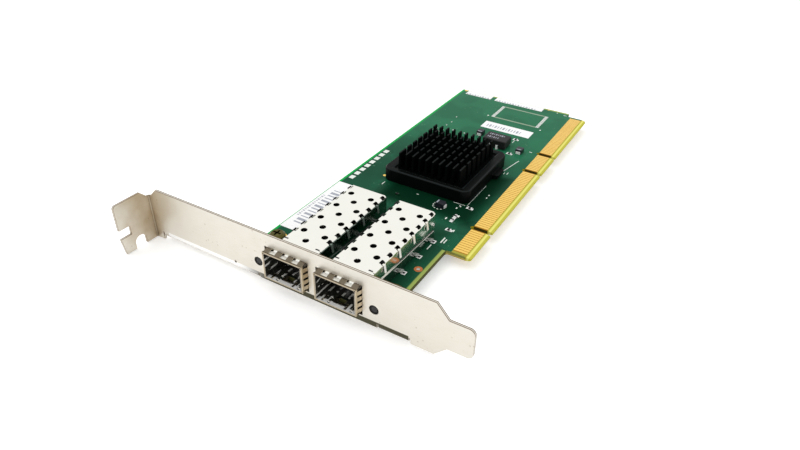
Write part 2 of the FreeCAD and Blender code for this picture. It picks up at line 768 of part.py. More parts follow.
def emi_collar(centre):
    """Band round the cage mouth with a row of bowed spring fingers on each side."""
    band_end = cage_mouth + COLLAR_BAND
    half = cage_half + COLLAR_SHEET
    outer = box(
        centre - half, centre + half, cage_mouth, band_end, cage_low - COLLAR_SHEET, cage_high + COLLAR_SHEET
    )
    inner = box(centre - cage_half, centre + cage_half, cage_mouth, band_end, cage_low, cage_high)
    band = outer.cut(inner)
    crest = cage_mouth + FINGER_CREST
    end = cage_mouth + FINGER_LENGTH
    bow = sharp([
        (cage_mouth + COLLAR_BAND / 2, 0),
        (cage_mouth + COLLAR_BAND / 2, COLLAR_SHEET),
        (band_end, COLLAR_SHEET),
        (crest, FINGER_RISE + COLLAR_SHEET),
        (end, FINGER_END_RISE + COLLAR_SHEET),
        (end, FINGER_END_RISE),
        (crest, FINGER_RISE),
        (band_end, 0),
    ])
    pieces = [band]

    def row(count, window, width):
        finger = (width - window * (count - 1)) / count
        return finger, [-width / 2 + index * (finger + window) for index in range(count)]

    finger, starts = row(WIDE_FINGER_COUNT, FINGER_WINDOW_WIDE, 2 * cage_half)
    for start in starts:
        x = centre + start
        for face, sign in ((cage_high, 1), (cage_low, -1)):
            section = [(y, face + sign * rise, 0) for y, rise, _ in bow]
            pieces.append(prism(section, on_yz(x), vec(finger, 0, 0)))
    middle = (cage_low + cage_high) / 2
    finger, starts = row(HIGH_FINGER_COUNT, FINGER_WINDOW_HIGH, cage_high - cage_low - 2 * ROOF_BEND)
    for start in starts:
        z = middle + start
        for face, sign in ((centre + cage_half, 1), (centre - cage_half, -1)):
            section = [(face + sign * rise, y, 0) for y, rise, _ in bow]
            pieces.append(prism(section, on_xy(z), vec(0, 0, finger)))
    return fused(pieces)


def module_connector(centre):
    """Housing with a card slot and its blade contacts, the lower row with solder feet."""
    front = housing_front
    rear = housing_rear
    half = HOUSING_WIDTH / 2
    top = HOUSING_HEIGHT
    section = bevelled([
        (front, 0, 0),
        (rear, 0, 0),
        (rear, top, HOUSING_BEVEL),
        (front, top, HOUSING_BEVEL),
    ])
    body = prism(section, on_yz(centre - half), vec(HOUSING_WIDTH, 0, 0))
    slot_half = SLOT_WIDTH / 2
    slot_high = SLOT_LIFT + SLOT_HEIGHT
    slot = box(centre - slot_half, centre + slot_half, front, front + SLOT_DEPTH, SLOT_LIFT, slot_high)
    housing = body.cut(slot)
    contacts = []
    for index in range(BLADE_COUNT):
        x = centre + BLADE_PITCH * (index - (BLADE_COUNT - 1) / 2) - BLADE_WIDTH / 2
        width = vec(BLADE_WIDTH, 0, 0)
        thick = BLADE_THICKNESS
        lower = sharp([
            (front + BLADE_LENGTH, SLOT_LIFT),
            (front + BLADE_LENGTH, SLOT_LIFT + thick),
            (front - thick, SLOT_LIFT + thick),
            (front - thick, thick),
            (front - BLADE_FOOT, thick),
            (front - BLADE_FOOT, 0),
            (front, 0),
            (front, SLOT_LIFT),
        ])
        contacts.append(prism(lower, on_yz(x), width))
        contacts.append(box(x, x + BLADE_WIDTH, front, front + BLADE_LENGTH, slot_high - thick, slot_high))
    return housing, contacts


def controller_lid():
    top = SUBSTRATE_THICKNESS + LID_THICKNESS
    wires = []
    for size, z in ((lid_size, SUBSTRATE_THICKNESS), (lid_size - 2 * LID_DRAFT, top)):
        square = rectangle(*centred(sink_x, size), *centred(sink_y, size))
        wires.append(rounded_face(square, on_xy(z)).OuterWire)
    return Part.makeLoft(wires, True)


def heat_sink():
    """Base plate with a grid of pins, each tapering to a narrow top, the front row longer."""
    pieces = [slab(sink_x, sink_y, sink_base_width, sink_base_length, sink_low, fin_low)]
    half = PIN_FIN_WIDTH / 2
    top_half = PIN_FIN_TOP_WIDTH / 2
    span_x = frame_mouth_width - 2 * PIN_FIN_MARGIN_WIDE - PIN_FIN_WIDTH
    front_start = sink_y - frame_well_length / 2 + PIN_FIN_MARGIN_LONG
    front_end = front_start + FRONT_FIN_LENGTH
    rear_end = sink_y + frame_well_length / 2 - PIN_FIN_MARGIN_LONG
    row_pitch = (rear_end - front_end) / (PIN_FIN_ROW_COUNT - 1)
    rows = [(front_start, FRONT_FIN_LENGTH)]
    for row in range(1, PIN_FIN_ROW_COUNT):
        rows.append((front_end + row_pitch * row - PIN_FIN_LENGTH, PIN_FIN_LENGTH))
    for column in range(PIN_FIN_COLUMN_COUNT):
        x = sink_x + span_x * (column / (PIN_FIN_COLUMN_COUNT - 1) - 0.5)
        section = sharp([
            (x - half, fin_low),
            (x + half, fin_low),
            (x + top_half, sink_high),
            (x - top_half, sink_high),
        ])
        for start, length in rows:
            pieces.append(prism(section, on_xz(start), vec(0, length, 0)))
    return fused(pieces)


def heat_sink_frame():
    """Clip frame round the sink: bevelled rim, lips over the base's bare sides, release levers."""
    outer = rectangle(*centred(sink_x, frame_width), *centred(sink_y, frame_length), FRAME_CORNER)
    block = prism(outer, on_xy(0), vec(0, 0, FRAME_HEIGHT))
    rim = [edge for edge in block.Edges if edge.BoundBox.ZMin > FRAME_HEIGHT - TOLERANCE]
    block = block.makeChamfer(FRAME_ROUND, rim)
    lip_low = fin_low + FRAME_LIP_CLEARANCE
    well_wide = slab(sink_x, sink_y, frame_well_width, frame_well_length, 0, lip_low)
    well_narrow = slab(sink_x, sink_y, frame_mouth_width, frame_well_length, 0, FRAME_HEIGHT)
    wires = []
    for spread, z in ((0, FRAME_HEIGHT - FRAME_BEVEL / 2), (2 * FRAME_BEVEL, FRAME_HEIGHT)):
        sides = centred(sink_x, frame_mouth_width + spread)
        ends = centred(sink_y, frame_well_length + spread)
        wires.append(rounded_face(rectangle(*sides, *ends), on_xy(z)).OuterWire)
    mouth = Part.makeLoft(wires, True)
    frame = block.cut([well_wide, well_narrow, mouth])
    side = sink_x + frame_width / 2
    middle = sink_y + LEVER_OFFSET
    outline = bevelled([
        (side - FRAME_WALL / 2, middle - LEVER_LENGTH / 2, 0),
        (side + LEVER_REACH, middle - LEVER_LENGTH / 2, LEVER_THICKNESS / 2),
        (side + LEVER_REACH, middle + LEVER_LENGTH / 2, LEVER_THICKNESS / 2),
        (side - FRAME_WALL / 2, middle + LEVER_LENGTH / 2, 0),
    ])
    lever = prism(outline, on_xy(LEVER_LIFT), vec(0, 0, LEVER_THICKNESS))
    opposite = lever.copy()
    opposite.rotate(vec(sink_x, sink_y, 0), vec(0, 0, 1), 180)
    return fused([frame, lever, opposite])


def oscillator():
    """Moulded clock with four leads that fold under its body."""
    place = (board_upper + OSCILLATOR_INSET, oscillator_y)
    half_width = OSCILLATOR_WIDTH / 2
    half_length = OSCILLATOR_LENGTH / 2
    body = box(-half_width, half_width, -half_length, half_length, OSCILLATOR_LIFT, OSCILLATOR_HEIGHT)
    body = body.makeChamfer(OSCILLATOR_BEVEL, body.Edges)
    thick = J_LEAD_THICKNESS
    lead = prism(
        sharp([
            (half_length, J_LEAD_HEIGHT),
            (half_length + thick, J_LEAD_HEIGHT),
            (half_length + thick, 0),
            (half_length - J_LEAD_FOOT, 0),
            (half_length - J_LEAD_FOOT, thick),
            (half_length, thick),
        ]),
        on_yz(J_LEAD_PITCH / 2 - J_LEAD_WIDTH / 2),
        vec(J_LEAD_WIDTH, 0, 0),
    )
    leads = []
    for side in mirrored_pair(lead, 0):
        leads += [turned(side, place, 0), turned(side, place, 180)]
    return turned(body, place, 0), leads


def capacitor(across, along, angle):
    """Moulded capacitor with a strip terminal folded under each end."""
    place = (sink_x + across, sink_y + along)
    half_length = CAPACITOR_LENGTH / 2
    half_width = CAPACITOR_WIDTH / 2
    shoulder = TERMINAL_HEIGHT + TERMINAL_THICKNESS
    top_length = half_length - CAPACITOR_DRAFT
    section = sharp([
        (-half_length, CAPACITOR_LIFT),
        (half_length, CAPACITOR_LIFT),
        (half_length, shoulder),
        (top_length, CAPACITOR_HEIGHT),
        (-top_length, CAPACITOR_HEIGHT),
        (-half_length, shoulder),
    ])
    body = prism(section, on_xz(-half_width), vec(0, CAPACITOR_WIDTH, 0))
    thick = TERMINAL_THICKNESS
    foot = sharp([
        (half_length, TERMINAL_HEIGHT),
        (half_length + thick, TERMINAL_HEIGHT),
        (half_length + thick, 0),
        (half_length - TERMINAL_HEIGHT, 0),
        (half_length - TERMINAL_HEIGHT, CAPACITOR_LIFT),
        (half_length, CAPACITOR_LIFT),
    ])
    terminal = prism(foot, on_xz(-TERMINAL_WIDTH / 2), vec(0, TERMINAL_WIDTH, 0))
    terminals = [turned(side, place, angle) for side in mirrored_pair(terminal, 0)]
    return turned(body, place, angle), terminals


def chip_resistor(across, along, angle):
    """Ceramic chip between two wrapped metal ends."""
    place = (sink_x + across, sink_y + along)
    half = CHIP_LENGTH / 2
    width = CHIP_WIDTH / 2
    wrap = CHIP_END_WRAP
    body = box(-half + CHIP_END, half - CHIP_END, -width + wrap, width - wrap, wrap, CHIP_HEIGHT - wrap)
    end = box(half - CHIP_END, half, -width, width, 0, CHIP_HEIGHT)
    ends = [turned(side, place, angle) for side in mirrored_pair(end, 0)]
    return turned(body, place, angle), ends


def status_light(centre):
    """Right angle light: black housing, round lens through the bracket's hole, two leads."""
    front = board_front + LED_HOUSING_SETBACK
    rear = front + LED_HOUSING_LENGTH
    section = bevelled([
        (front, 0, 0),
        (rear, 0, 0),
        (rear, LED_HOUSING_TOP, LED_HOUSING_BEVEL),
        (front, LED_HOUSING_TOP, LED_HOUSING_BEVEL),
    ])
    half = LED_HOUSING_WIDTH / 2
    housing = prism(section, on_yz(centre - half), vec(LED_HOUSING_WIDTH, 0, 0))
    radius = LED_HOLE_RADIUS - LED_HOLE_CLEARANCE
    tip = vec(centre, LED_LENS_RECESS, LED_HEIGHT)
    lens = rod(radius, tip, vec(centre, front, LED_HEIGHT))
    leads = [slab(x, y, LED_LEAD, LED_LEAD, pin_low, 0) for x, y in led_lead_places(centre)]
    return housing, lens, leads


def label(inset, width, start, length):
    x = board_upper + inset
    return box(x, x + width, start, start + length, 0, LABEL_THICKNESS)


def build():
    os.makedirs("parts", exist_ok=True)
    export("circuit_board", circuit_board())
    export("edge_contacts_component_side", *edge_contacts(0, 1))
    export("edge_contacts_solder_side", *edge_contacts(board_bottom, -1))
    export("bracket", bracket())
    export("bracket_screws", *[bracket_screw(x, y) for x, y in screw_places])

    for number, centre in enumerate(cage_centres, start=1):
        cage = "sfp_cage_%d_" % number
        export(cage + "cover", cage_cover(centre))
        export(cage + "base", cage_base(centre))
        export(cage + "emi_collar", emi_collar(centre))
        housing, contacts = module_connector(centre)
        export("sfp_connector_%d_housing" % number, housing)
        export("sfp_connector_%d_contacts" % number, *contacts)

    substrate = slab(sink_x, sink_y, SUBSTRATE_SIZE, SUBSTRATE_SIZE, 0, SUBSTRATE_THICKNESS)
    export("controller_substrate", substrate)
    export("controller_lid", controller_lid())
    pad_size = lid_size - 2 * LID_DRAFT
    export("thermal_pad", slab(sink_x, sink_y, pad_size, pad_size, sink_low - PAD_THICKNESS, sink_low))
    export("heat_sink", heat_sink())
    export("heat_sink_frame", heat_sink_frame())

    body, leads = oscillator()
    export("oscillator_body", body)
    export("oscillator_leads", *leads)
    capacitors = [capacitor(*place) for place in CAPACITOR_PLACES]
    export("capacitor_bodies", *[body for body, _ in capacitors])
    export("capacitor_terminals", *[end for _, ends in capacitors for end in ends])
    chips = [chip_resistor(*place) for place in CHIP_PLACES]
    export("chip_resistor_bodies", *[body for body, _ in chips])
    export("chip_resistor_ends", *[end for _, ends in chips for end in ends])

    led_leads = []
    for number, centre in enumerate(led_centres, start=1):
        housing, lens, leads = status_light(centre)
        export("led_%d_housing" % number, housing)
        export("led_%d_lens" % number, lens)
        led_leads += leads
    export("led_leads", *led_leads)

    barcode_start = board_front + BARCODE_LABEL_REACH
    barcode = label(BARCODE_LABEL_INSET, BARCODE_LABEL_WIDTH, barcode_start, BARCODE_LABEL_LENGTH)
    export("barcode_label", barcode)
    serial = label(SERIAL_LABEL_INSET, SERIAL_LABEL_WIDTH, serial_label_low, SERIAL_LABEL_LENGTH)
    export("serial_label", serial)
    end_start = board_far - END_LABEL_GAP - END_LABEL_LENGTH
    end_labels = [label(inset, width, end_start, END_LABEL_LENGTH) for inset, width in END_LABEL_SPANS]
    export("board_end_labels", *end_labels)


build()
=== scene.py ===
"""Looks of the fibre channel adapter: materials, print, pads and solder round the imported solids."""

import math

import bmesh
import bpy
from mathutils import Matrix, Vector


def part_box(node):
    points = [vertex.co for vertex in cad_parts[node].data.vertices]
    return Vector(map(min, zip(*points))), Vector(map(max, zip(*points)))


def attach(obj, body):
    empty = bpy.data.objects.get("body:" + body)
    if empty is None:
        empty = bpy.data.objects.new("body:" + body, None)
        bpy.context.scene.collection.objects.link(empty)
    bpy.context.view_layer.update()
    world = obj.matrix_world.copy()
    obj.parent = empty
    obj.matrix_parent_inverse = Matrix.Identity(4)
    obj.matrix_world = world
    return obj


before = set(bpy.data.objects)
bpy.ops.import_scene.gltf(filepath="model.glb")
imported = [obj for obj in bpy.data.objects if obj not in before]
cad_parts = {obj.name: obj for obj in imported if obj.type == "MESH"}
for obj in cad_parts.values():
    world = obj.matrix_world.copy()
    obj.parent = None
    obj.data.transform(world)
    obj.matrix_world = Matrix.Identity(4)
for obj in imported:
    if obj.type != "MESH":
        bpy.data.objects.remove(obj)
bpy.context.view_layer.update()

MM = 0.001

# Numbers of the cages, sockets and lights, which come in pairs
PORTS = (1, 2)

# Flat layers: thickness in millimetres, and sides of their discs and rings
PRINT_THICKNESS = 0.02
PAD_THICKNESS = 0.035
DISC_SIDES = 20
RING_SIDES = 24

# Camera, fitted to the corners of the board, bracket and cages
CAMERA_PLACE = (0.10085, -0.18912, 0.12706)
CAMERA_TURN = (55.787, -1.238, 30.605)
CAMERA_LENS = 28.328
CAMERA_SENSOR = 36.0
CAMERA_CLIP = 5.0 * MM

# Detail of a noise, from smooth blots to fine grain
SMOOTH_DETAIL = 0.0
COARSE_DETAIL = 1.0
SPECK_DETAIL = 2.0
CLOUD_DETAIL = 3.0
FINE_DETAIL = 4.0

# Blender's wave texture repeats each pi / 10 over its scale
WAVE_LENGTH = math.pi / 10.0

# Places of the colour sockets in Blender's mix node, which share their names with its other sockets
MIX_FIRST = 6
MIX_SECOND = 7
MIX_RESULT = 2

# Scale of a grain that isn't stretched
EVEN = (1.0, 1.0, 1.0)

# Limits of a part of the normal: above the first a face is an upper one, below the others an edge or a side
UPPER_FACE = 0.5
BOARD_EDGE_FACE = (0.8, 0.95)
SIDE_FACE = 0.9

board_low, board_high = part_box("circuit_board")


def on_board(inset, reach):
    """Point on the board, in millimetres from its upper edge and from its front edge."""
    return board_low.x + inset * MM, board_low.y + reach * MM


class Shader:
    """A material under construction. It ends in one Principled shader."""

    def __init__(self, name):
        self.name = name
        self.material = bpy.data.materials.new(name)
        self.material.use_nodes = True
        self.tree = self.material.node_tree
        self.surface = self.tree.nodes["Principled BSDF"]
        self.coordinates = self.tree.nodes.new("ShaderNodeTexCoord").outputs["Object"]

    def put(self, socket, value):
        """Joins a socket to another node's output, or sets its value."""
        if isinstance(value, bpy.types.NodeSocket):
            self.tree.links.new(value, socket)
        elif socket.type == "RGBA":
            socket.default_value = (*value, 1.0)
        else:
            socket.default_value = value

    def set(self, **values):
        """Sets sockets of the Principled shader; an underscore stands for a space."""
        for name, value in values.items():
            self.put(self.surface.inputs[name.replace("_", " ")], value)

    def colour(self):
        """The colour that the material has so far."""
        return self.surface.inputs["Base Color"].links[0].from_socket

    def math(self, operation, first, second=0.0):
        node = self.tree.nodes.new("ShaderNodeMath")
        node.operation = operation
        self.put(node.inputs[0], first)
        self.put(node.inputs[1], second)
        return node.outputs[0]

    def plus(self, first, second):
        return self.math("ADD", first, second)

    def minus(self, first, second):
        return self.math("SUBTRACT", first, second)

    def times(self, first, second):
        return self.math("MULTIPLY", first, second)

    def most(self, first, second):
        return self.math("MAXIMUM", first, second)

    def least(self, first, second):
        return self.math("MINIMUM", first, second)

    def above(self, value, limit):
        """1 where the value is above the limit, and 0 elsewhere."""
        return self.math("GREATER_THAN", value, limit)

    def below(self, value, limit):
        """1 where the value is below the limit, and 0 elsewhere."""
        return self.math("LESS_THAN", value, limit)

    def size(self, value):
        """The value without its sign."""
        return self.math("ABSOLUTE", value)

    def split(self, vector):
        node = self.tree.nodes.new("ShaderNodeSeparateXYZ")
        self.put(node.inputs[0], vector)
        return node.outputs["X"], node.outputs["Y"], node.outputs["Z"]

    def place(self):
        """The three coordinates of a point, in metres."""
        return self.split(self.coordinates)

    def facing(self):
        """The three parts of the face's normal."""
        return self.split(self.tree.nodes.new("ShaderNodeNewGeometry").outputs["True Normal"])

    def stretched(self, scale, turn=0.0):
        """Object coordinates, scaled by axis and turned about Z in degrees."""
        node = self.tree.nodes.new("ShaderNodeMapping")
        self.put(node.inputs["Vector"], self.coordinates)
        node.inputs["Scale"].default_value = scale
        node.inputs["Rotation"].default_value = (0.0, 0.0, math.radians(turn))
        return node.outputs[0]

    def noise(self, grain, detail=CLOUD_DETAIL, vector=None):
        """Noise whose features are about grain millimetres across."""
        node = self.tree.nodes.new("ShaderNodeTexNoise")
        self.put(node.inputs["Vector"], vector or self.coordinates)
        node.inputs["Scale"].default_value = 1.0 / (grain * MM)
        node.inputs["Detail"].default_value = detail
        return node.outputs["Fac"]

    def cells(self, pitch, output):
        """Voronoi cells about pitch millimetres apart."""
        node = self.tree.nodes.new("ShaderNodeTexVoronoi")
        self.put(node.inputs["Vector"], self.coordinates)
        node.inputs["Scale"].default_value = 1.0 / (pitch * MM)
        return node.outputs[output]

    def stripes(self, pitch, turn):
        """Bands pitch millimetres apart, as a wave from 0 to 1."""
        node = self.tree.nodes.new("ShaderNodeTexWave")
        self.put(node.inputs["Vector"], self.stretched(EVEN, turn))
        node.inputs["Scale"].default_value = WAVE_LENGTH / (pitch * MM)
        return node.outputs["Fac"]

    def ramp(self, value, low, high, to_low=0.0, to_high=1.0):
        """Smooth step between two limits."""
        node = self.tree.nodes.new("ShaderNodeMapRange")
        node.interpolation_type = "SMOOTHSTEP"
        self.put(node.inputs["Value"], value)
        node.inputs["From Min"].default_value = low
        node.inputs["From Max"].default_value = high
        node.inputs["To Min"].default_value = to_low
        node.inputs["To Max"].default_value = to_high
        return node.outputs[0]

    def blend(self, factor, first, second):
        """Colour that goes from first to second as factor goes from 0 to 1."""
        node = self.tree.nodes.new("ShaderNodeMix")
        node.data_type = "RGBA"
        self.put(node.inputs["Factor"], factor)
        self.put(node.inputs[MIX_FIRST], first)
        self.put(node.inputs[MIX_SECOND], second)
        return node.outputs[MIX_RESULT]

    def over(self, low, high):
        """1 where a point lies between two corners, seen from above, and 0 elsewhere."""
        mask = 1.0
        for place, near, far in zip(self.place(), low[:2], high[:2]):
            inside = self.times(self.above(place, near), self.below(place, far))
            mask = self.times(inside, mask)
        return mask

    def around(self, place, room):
        """1 in a square round a place on the board, and 0 elsewhere. Room is half the square's side."""
        middle = Vector(on_board(*place))
        corner = Vector((room, room))
        return self.over(middle - corner, middle + corner)

    def bump(self, height, depth, strength):
        """Bump of about depth millimetres."""
        node = self.tree.nodes.new("ShaderNodeBump")
        node.inputs["Strength"].default_value = strength
        node.inputs["Distance"].default_value = depth * MM
        self.put(node.inputs["Height"], height)
        self.set(Normal=node.outputs[0])


# Grain of metals and of moulded surfaces: size of the clouds in millimetres, limits of the fine noise,
# spread of the roughness, depth in millimetres and strength of the bump
METAL_CLOUDS = 6.0
METAL_FINE = (0.25, 0.75)
METAL_SPREAD = (0.8, 1.2)
METAL_DEPTH = 0.004
METAL_BUMP = 0.25
MOULD_CLOUDS = 4.0
MOULD_FINE = (0.2, 0.8)
MOULD_SPREAD = (0.85, 1.15)
MOULD_DEPTH = 0.01
MOULD_BUMP = 0.35


def metal(name, light, dark, grain, roughness, stretch=EVEN):
    """Plated metal: cloudy colour, fine grain along one axis, uneven gloss."""
    shader = Shader(name)
    clouds = shader.noise(METAL_CLOUDS)
    fine = shader.noise(grain, FINE_DETAIL, shader.stretched(stretch))
    shader.set(Base_Color=shader.blend(clouds, dark, light), Metallic=1.0)
    spread = [roughness * share for share in METAL_SPREAD]
    shader.set(Roughness=shader.ramp(fine, *METAL_FINE, *spread))
    shader.bump(fine, METAL_DEPTH, METAL_BUMP)
    return shader


def moulded(name, light, dark, grain, roughness, depth=MOULD_DEPTH):
    """Moulded or coated surface: speckled colour and a fine leathery grain."""
    shader = Shader(name)
    fine = shader.noise(grain, FINE_DETAIL)
    clouds = shader.noise(MOULD_CLOUDS)
    shader.set(Base_Color=shader.blend(clouds, dark, light))
    spread = [roughness * share for share in MOULD_SPREAD]
    shader.set(Roughness=shader.ramp(fine, *MOULD_FINE, *spread))
    shader.bump(fine, depth, MOULD_BUMP)
    return shader


def black_moulding(name, light, dark, grain, roughness, specular):
    """Black plastic with little reflection."""
    shader = moulded(name, light, dark, grain, roughness)
    shader.set(Specular_IOR_Level=specular)
    return shader


# Plain surfaces: light and dark colour, grain in millimetres and roughness.
# Metals may add the stretch of their grain by axis, and black mouldings add their specular level.
PLAIN_METALS = {
    "gold_plating": ((0.99, 0.68, 0.18), (0.93, 0.6, 0.13), 0.4, 0.26, (0.15, 1.0, 1.0)),
    "screw_steel": ((0.13, 0.12, 0.035), (0.08, 0.07, 0.02), 0.3, 0.4),
    "lid_metal": ((0.62, 0.62, 0.62), (0.5, 0.5, 0.5), 0.4, 0.4),
    "solder_tin": ((0.94, 0.94, 0.92), (0.84, 0.84, 0.81), 0.3, 0.3),
    "copper": ((0.6, 0.2, 0.07), (0.42, 0.13, 0.04), 0.3, 0.35),
}
PLAIN_MOULDINGS = {
    "substrate": ((0.05, 0.15, 0.08), (0.03, 0.1, 0.05), 0.4, 0.45),
    "pad_rubber": ((0.55, 0.55, 0.57), (0.42, 0.42, 0.44), 0.3, 0.75),
    "label_paper": ((0.97, 0.97, 0.97), (0.93, 0.935, 0.935), 0.25, 0.6),
    "white_solder": ((0.96, 0.96, 0.95), (0.88, 0.88, 0.86), 0.2, 0.35),
    "white_print": ((0.93, 0.95, 0.91), (0.72, 0.8, 0.72), 0.3, 0.6),
    "faded_print": ((0.3, 0.4, 0.28), (0.18, 0.28, 0.18), 0.5, 0.5),
    "grey_print": ((0.44, 0.46, 0.52), (0.32, 0.34, 0.39), 0.2, 0.6),
}
BLACK_MOULDINGS = {
    "socket_plastic": ((0.02, 0.02, 0.02), (0.012, 0.012, 0.012), 0.2, 0.5, 0.3),
    "package_black": ((0.018, 0.018, 0.018), (0.01, 0.01, 0.01), 0.12, 0.5, 0.2),
    "capacitor_case": ((0.012, 0.016, 0.024), (0.007, 0.009, 0.012), 0.2, 0.35, 0.3),
    "light_housing": ((0.014, 0.014, 0.014), (0.008, 0.008, 0.008), 0.2, 0.45, 0.25),
}

# Solder mask: size of its clouds in millimetres, its greens, gloss and relief
MASK_CLOUDS = 18.0
MASK_GREENS = ((0.004, 0.055, 0.026), (0.012, 0.11, 0.055))
MASK_SPECULAR = 0.035
MASK_ROUGHNESS = (0.17, 0.7)
MASK_DEPTH = 0.03
MASK_BUMP = 0.3
CLOUD_RELIEF = 0.3

# Copper under the mask: darker in patches, lighter in tracks and small holes; a painted sheen makes the mask
# paler beyond the heat sink
SHEEN_GREEN = (0.036, 0.264, 0.127)
SHEEN_SHIFT = 20.0 * MM
SHEEN_SHARE = 0.42
DARK_PATCH = (0.001, 0.03, 0.013)
DARK_PATCH_SIZE = 10.0
DARK_PATCH_EDGE = (0.42, 0.62)
DARK_PATCH_SHARE = 0.2
TRACK_GREEN = (0.016, 0.18, 0.085)
VIA_GREEN = (0.12, 0.3, 0.17)
COPPER_SHARE = 0.5

# Tracks and small holes: sizes and pitches in millimetres, turns in degrees, limits of their patterns
TRACK_PATCH = 9.0
TRACK_PITCH = 0.62
TRACK_TURNS = (0.0, 90.0, 45.0)
TRACK_EDGE = (0.62, 0.8)
TRACK_FIELD = 14.0
TRACK_FIELD_EDGE = (0.42, 0.56)
ALONG_BELOW = 0.35
ACROSS_ABOVE = 0.55
SLANTED_BELOW = 0.3
VIA_PITCH = 1.9
VIA_EDGE = (0.12, 0.18)
VIA_FIELD = 7.0
VIA_FIELD_EDGE = (0.52, 0.6)

# Painted shade before the heat sink and beside cage 2: its colour, its start and width round a box, the box
# as shifts from the heat sink's frame, its shares, and the painted shade under the cages
PAINTED_SHADE_GREEN = (0.0003, 0.018, 0.0065)
SHADE_WIDTH = 8.0 * MM
SINK_SHADE_START = 8.0 * MM
SINK_SHADE_LOW = Vector((18.0 * MM, 0.0, 0.0))
SINK_SHADE_HIGH = Vector((-7.5 * MM, -22.5 * MM, 0.0))
SINK_SHADE_SHARE = 0.95
CAGE_SHADE_SHARE = 0.5
SHADE_UNDER_CAGE = (0.008, 0.012, 0.008)

# Rims of the board: width, colours, and where the olive one stops before the first contact
RIM_WIDTH = 1.3 * MM
RIM_SHARE = 0.95
GREEN_RIM = (0.004, 0.4, 0.075)
GREEN_RIM_EDGE = (0.5 * RIM_WIDTH, RIM_WIDTH)
OLIVE_RIM = (0.36, 0.45, 0.11)
OLIVE_RIM_EDGE = (0.7 * RIM_WIDTH, 1.1 * RIM_WIDTH)
OLIVE_RIM_STOP = (2.0 * MM, 1.9 * MM)

# Connector: depth of its tab, width of its bare bevel, and the haze of gold between its contacts
CONNECTOR_DEPTH = 9.0 * MM
CONTACT_BORDER = Vector((0.0, 0.4 * MM, 0.0))
CONTACT_HAZE = ((0.36, 0.17, 0.013), (0.5, 0.24, 0.025))
CONTACT_HAZE_GRAIN = 1.2
BEFORE_CONTACTS = (0.4, 0.37, 0.06)
BEVEL_WIDTH = 1.95 * MM
BEVEL_FULL = 0.97 * BEVEL_WIDTH
BEVEL_LINE = 0.65 * BEVEL_WIDTH
BEVEL_FACE = (0.5 * BEVEL_WIDTH, 0.3 * BEVEL_WIDTH)

# Bare laminate: yellow of the bevel and of the line along it, painted shade in the slots, near end, painted
# shade on the main edge, and plated hole
LAMINATE_GRAIN = 0.5
LAMINATE_YELLOWS = ((0.5, 0.47, 0.05), (0.62, 0.59, 0.09))
BEVEL_LINE_YELLOWS = ((0.45, 0.38, 0.02), (0.84, 0.8, 0.2))
SLOT_SHADE = (0.06, 0.05, 0.008)
NEAR_END_LAYERS = ((0.55, 0.42, 0.12), (0.27, 0.28, 0.07))
NEAR_END_CHANGE = (0.5 * MM, 0.8 * MM)
MAIN_EDGE_SHADE = (0.1, 0.1, 0.035)
MAIN_EDGE_ROOM = 0.2 * MM
PLATED_HOLE = (52.7, 24.24)
PLATED_HOLE_RADIUS = 0.6
PLATED_HOLE_ROOM = 1.2 * PLATED_HOLE_RADIUS * MM
PLATED_HOLE_WALL = (0.95, 0.93, 0.88)


def tracks_and_vias(shader):
    """Copper that shows through the mask: straight tracks in patches, and small round holes."""
    pick, gate, _ = shader.split(shader.cells(TRACK_PATCH, "Color"))
    bands = [shader.stripes(TRACK_PITCH, turn) for turn in TRACK_TURNS]
    along, across, slanted = [shader.ramp(band, *TRACK_EDGE) for band in bands]
    tracks = shader.times(across, shader.above(pick, ACROSS_ABOVE))
    tracks = shader.most(tracks, shader.times(slanted, shader.below(pick, SLANTED_BELOW)))
    tracks = shader.most(tracks, shader.times(along, shader.below(gate, ALONG_BELOW)))
    track_field = shader.ramp(shader.noise(TRACK_FIELD, COARSE_DETAIL), *TRACK_FIELD_EDGE)
    vias = shader.ramp(shader.cells(VIA_PITCH, "Distance"), *VIA_EDGE, 1.0, 0.0)
    via_field = shader.ramp(shader.noise(VIA_FIELD, COARSE_DETAIL), *VIA_FIELD_EDGE)
    return shader.times(tracks, track_field), shader.times(vias, via_field)


def mask_over_copper(shader, clouds, tracks, vias):
    """Green of the mask: cloudy, with a painted sheen that makes it paler beyond the heat sink, darker in
    patches, lighter on copper.
    """
    y = shader.place()[1]
    low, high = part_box("heat_sink_frame")
    beyond_sink = (low.y + SHEEN_SHIFT, high.y + SHEEN_SHIFT)
    colour = shader.blend(clouds, *MASK_GREENS)
    # Painted sheen: the green turns paler beyond the heat sink
    colour = shader.blend(shader.ramp(y, *beyond_sink, 0.0, SHEEN_SHARE), colour, SHEEN_GREEN)
    blots = shader.noise(DARK_PATCH_SIZE, SMOOTH_DETAIL)
    patches = shader.ramp(blots, *DARK_PATCH_EDGE, 0.0, DARK_PATCH_SHARE)
    colour = shader.blend(patches, colour, DARK_PATCH)
    colour = shader.blend(shader.times(tracks, COPPER_SHARE), colour, TRACK_GREEN)
    return shader.blend(shader.times(vias, COPPER_SHARE), colour, VIA_GREEN)


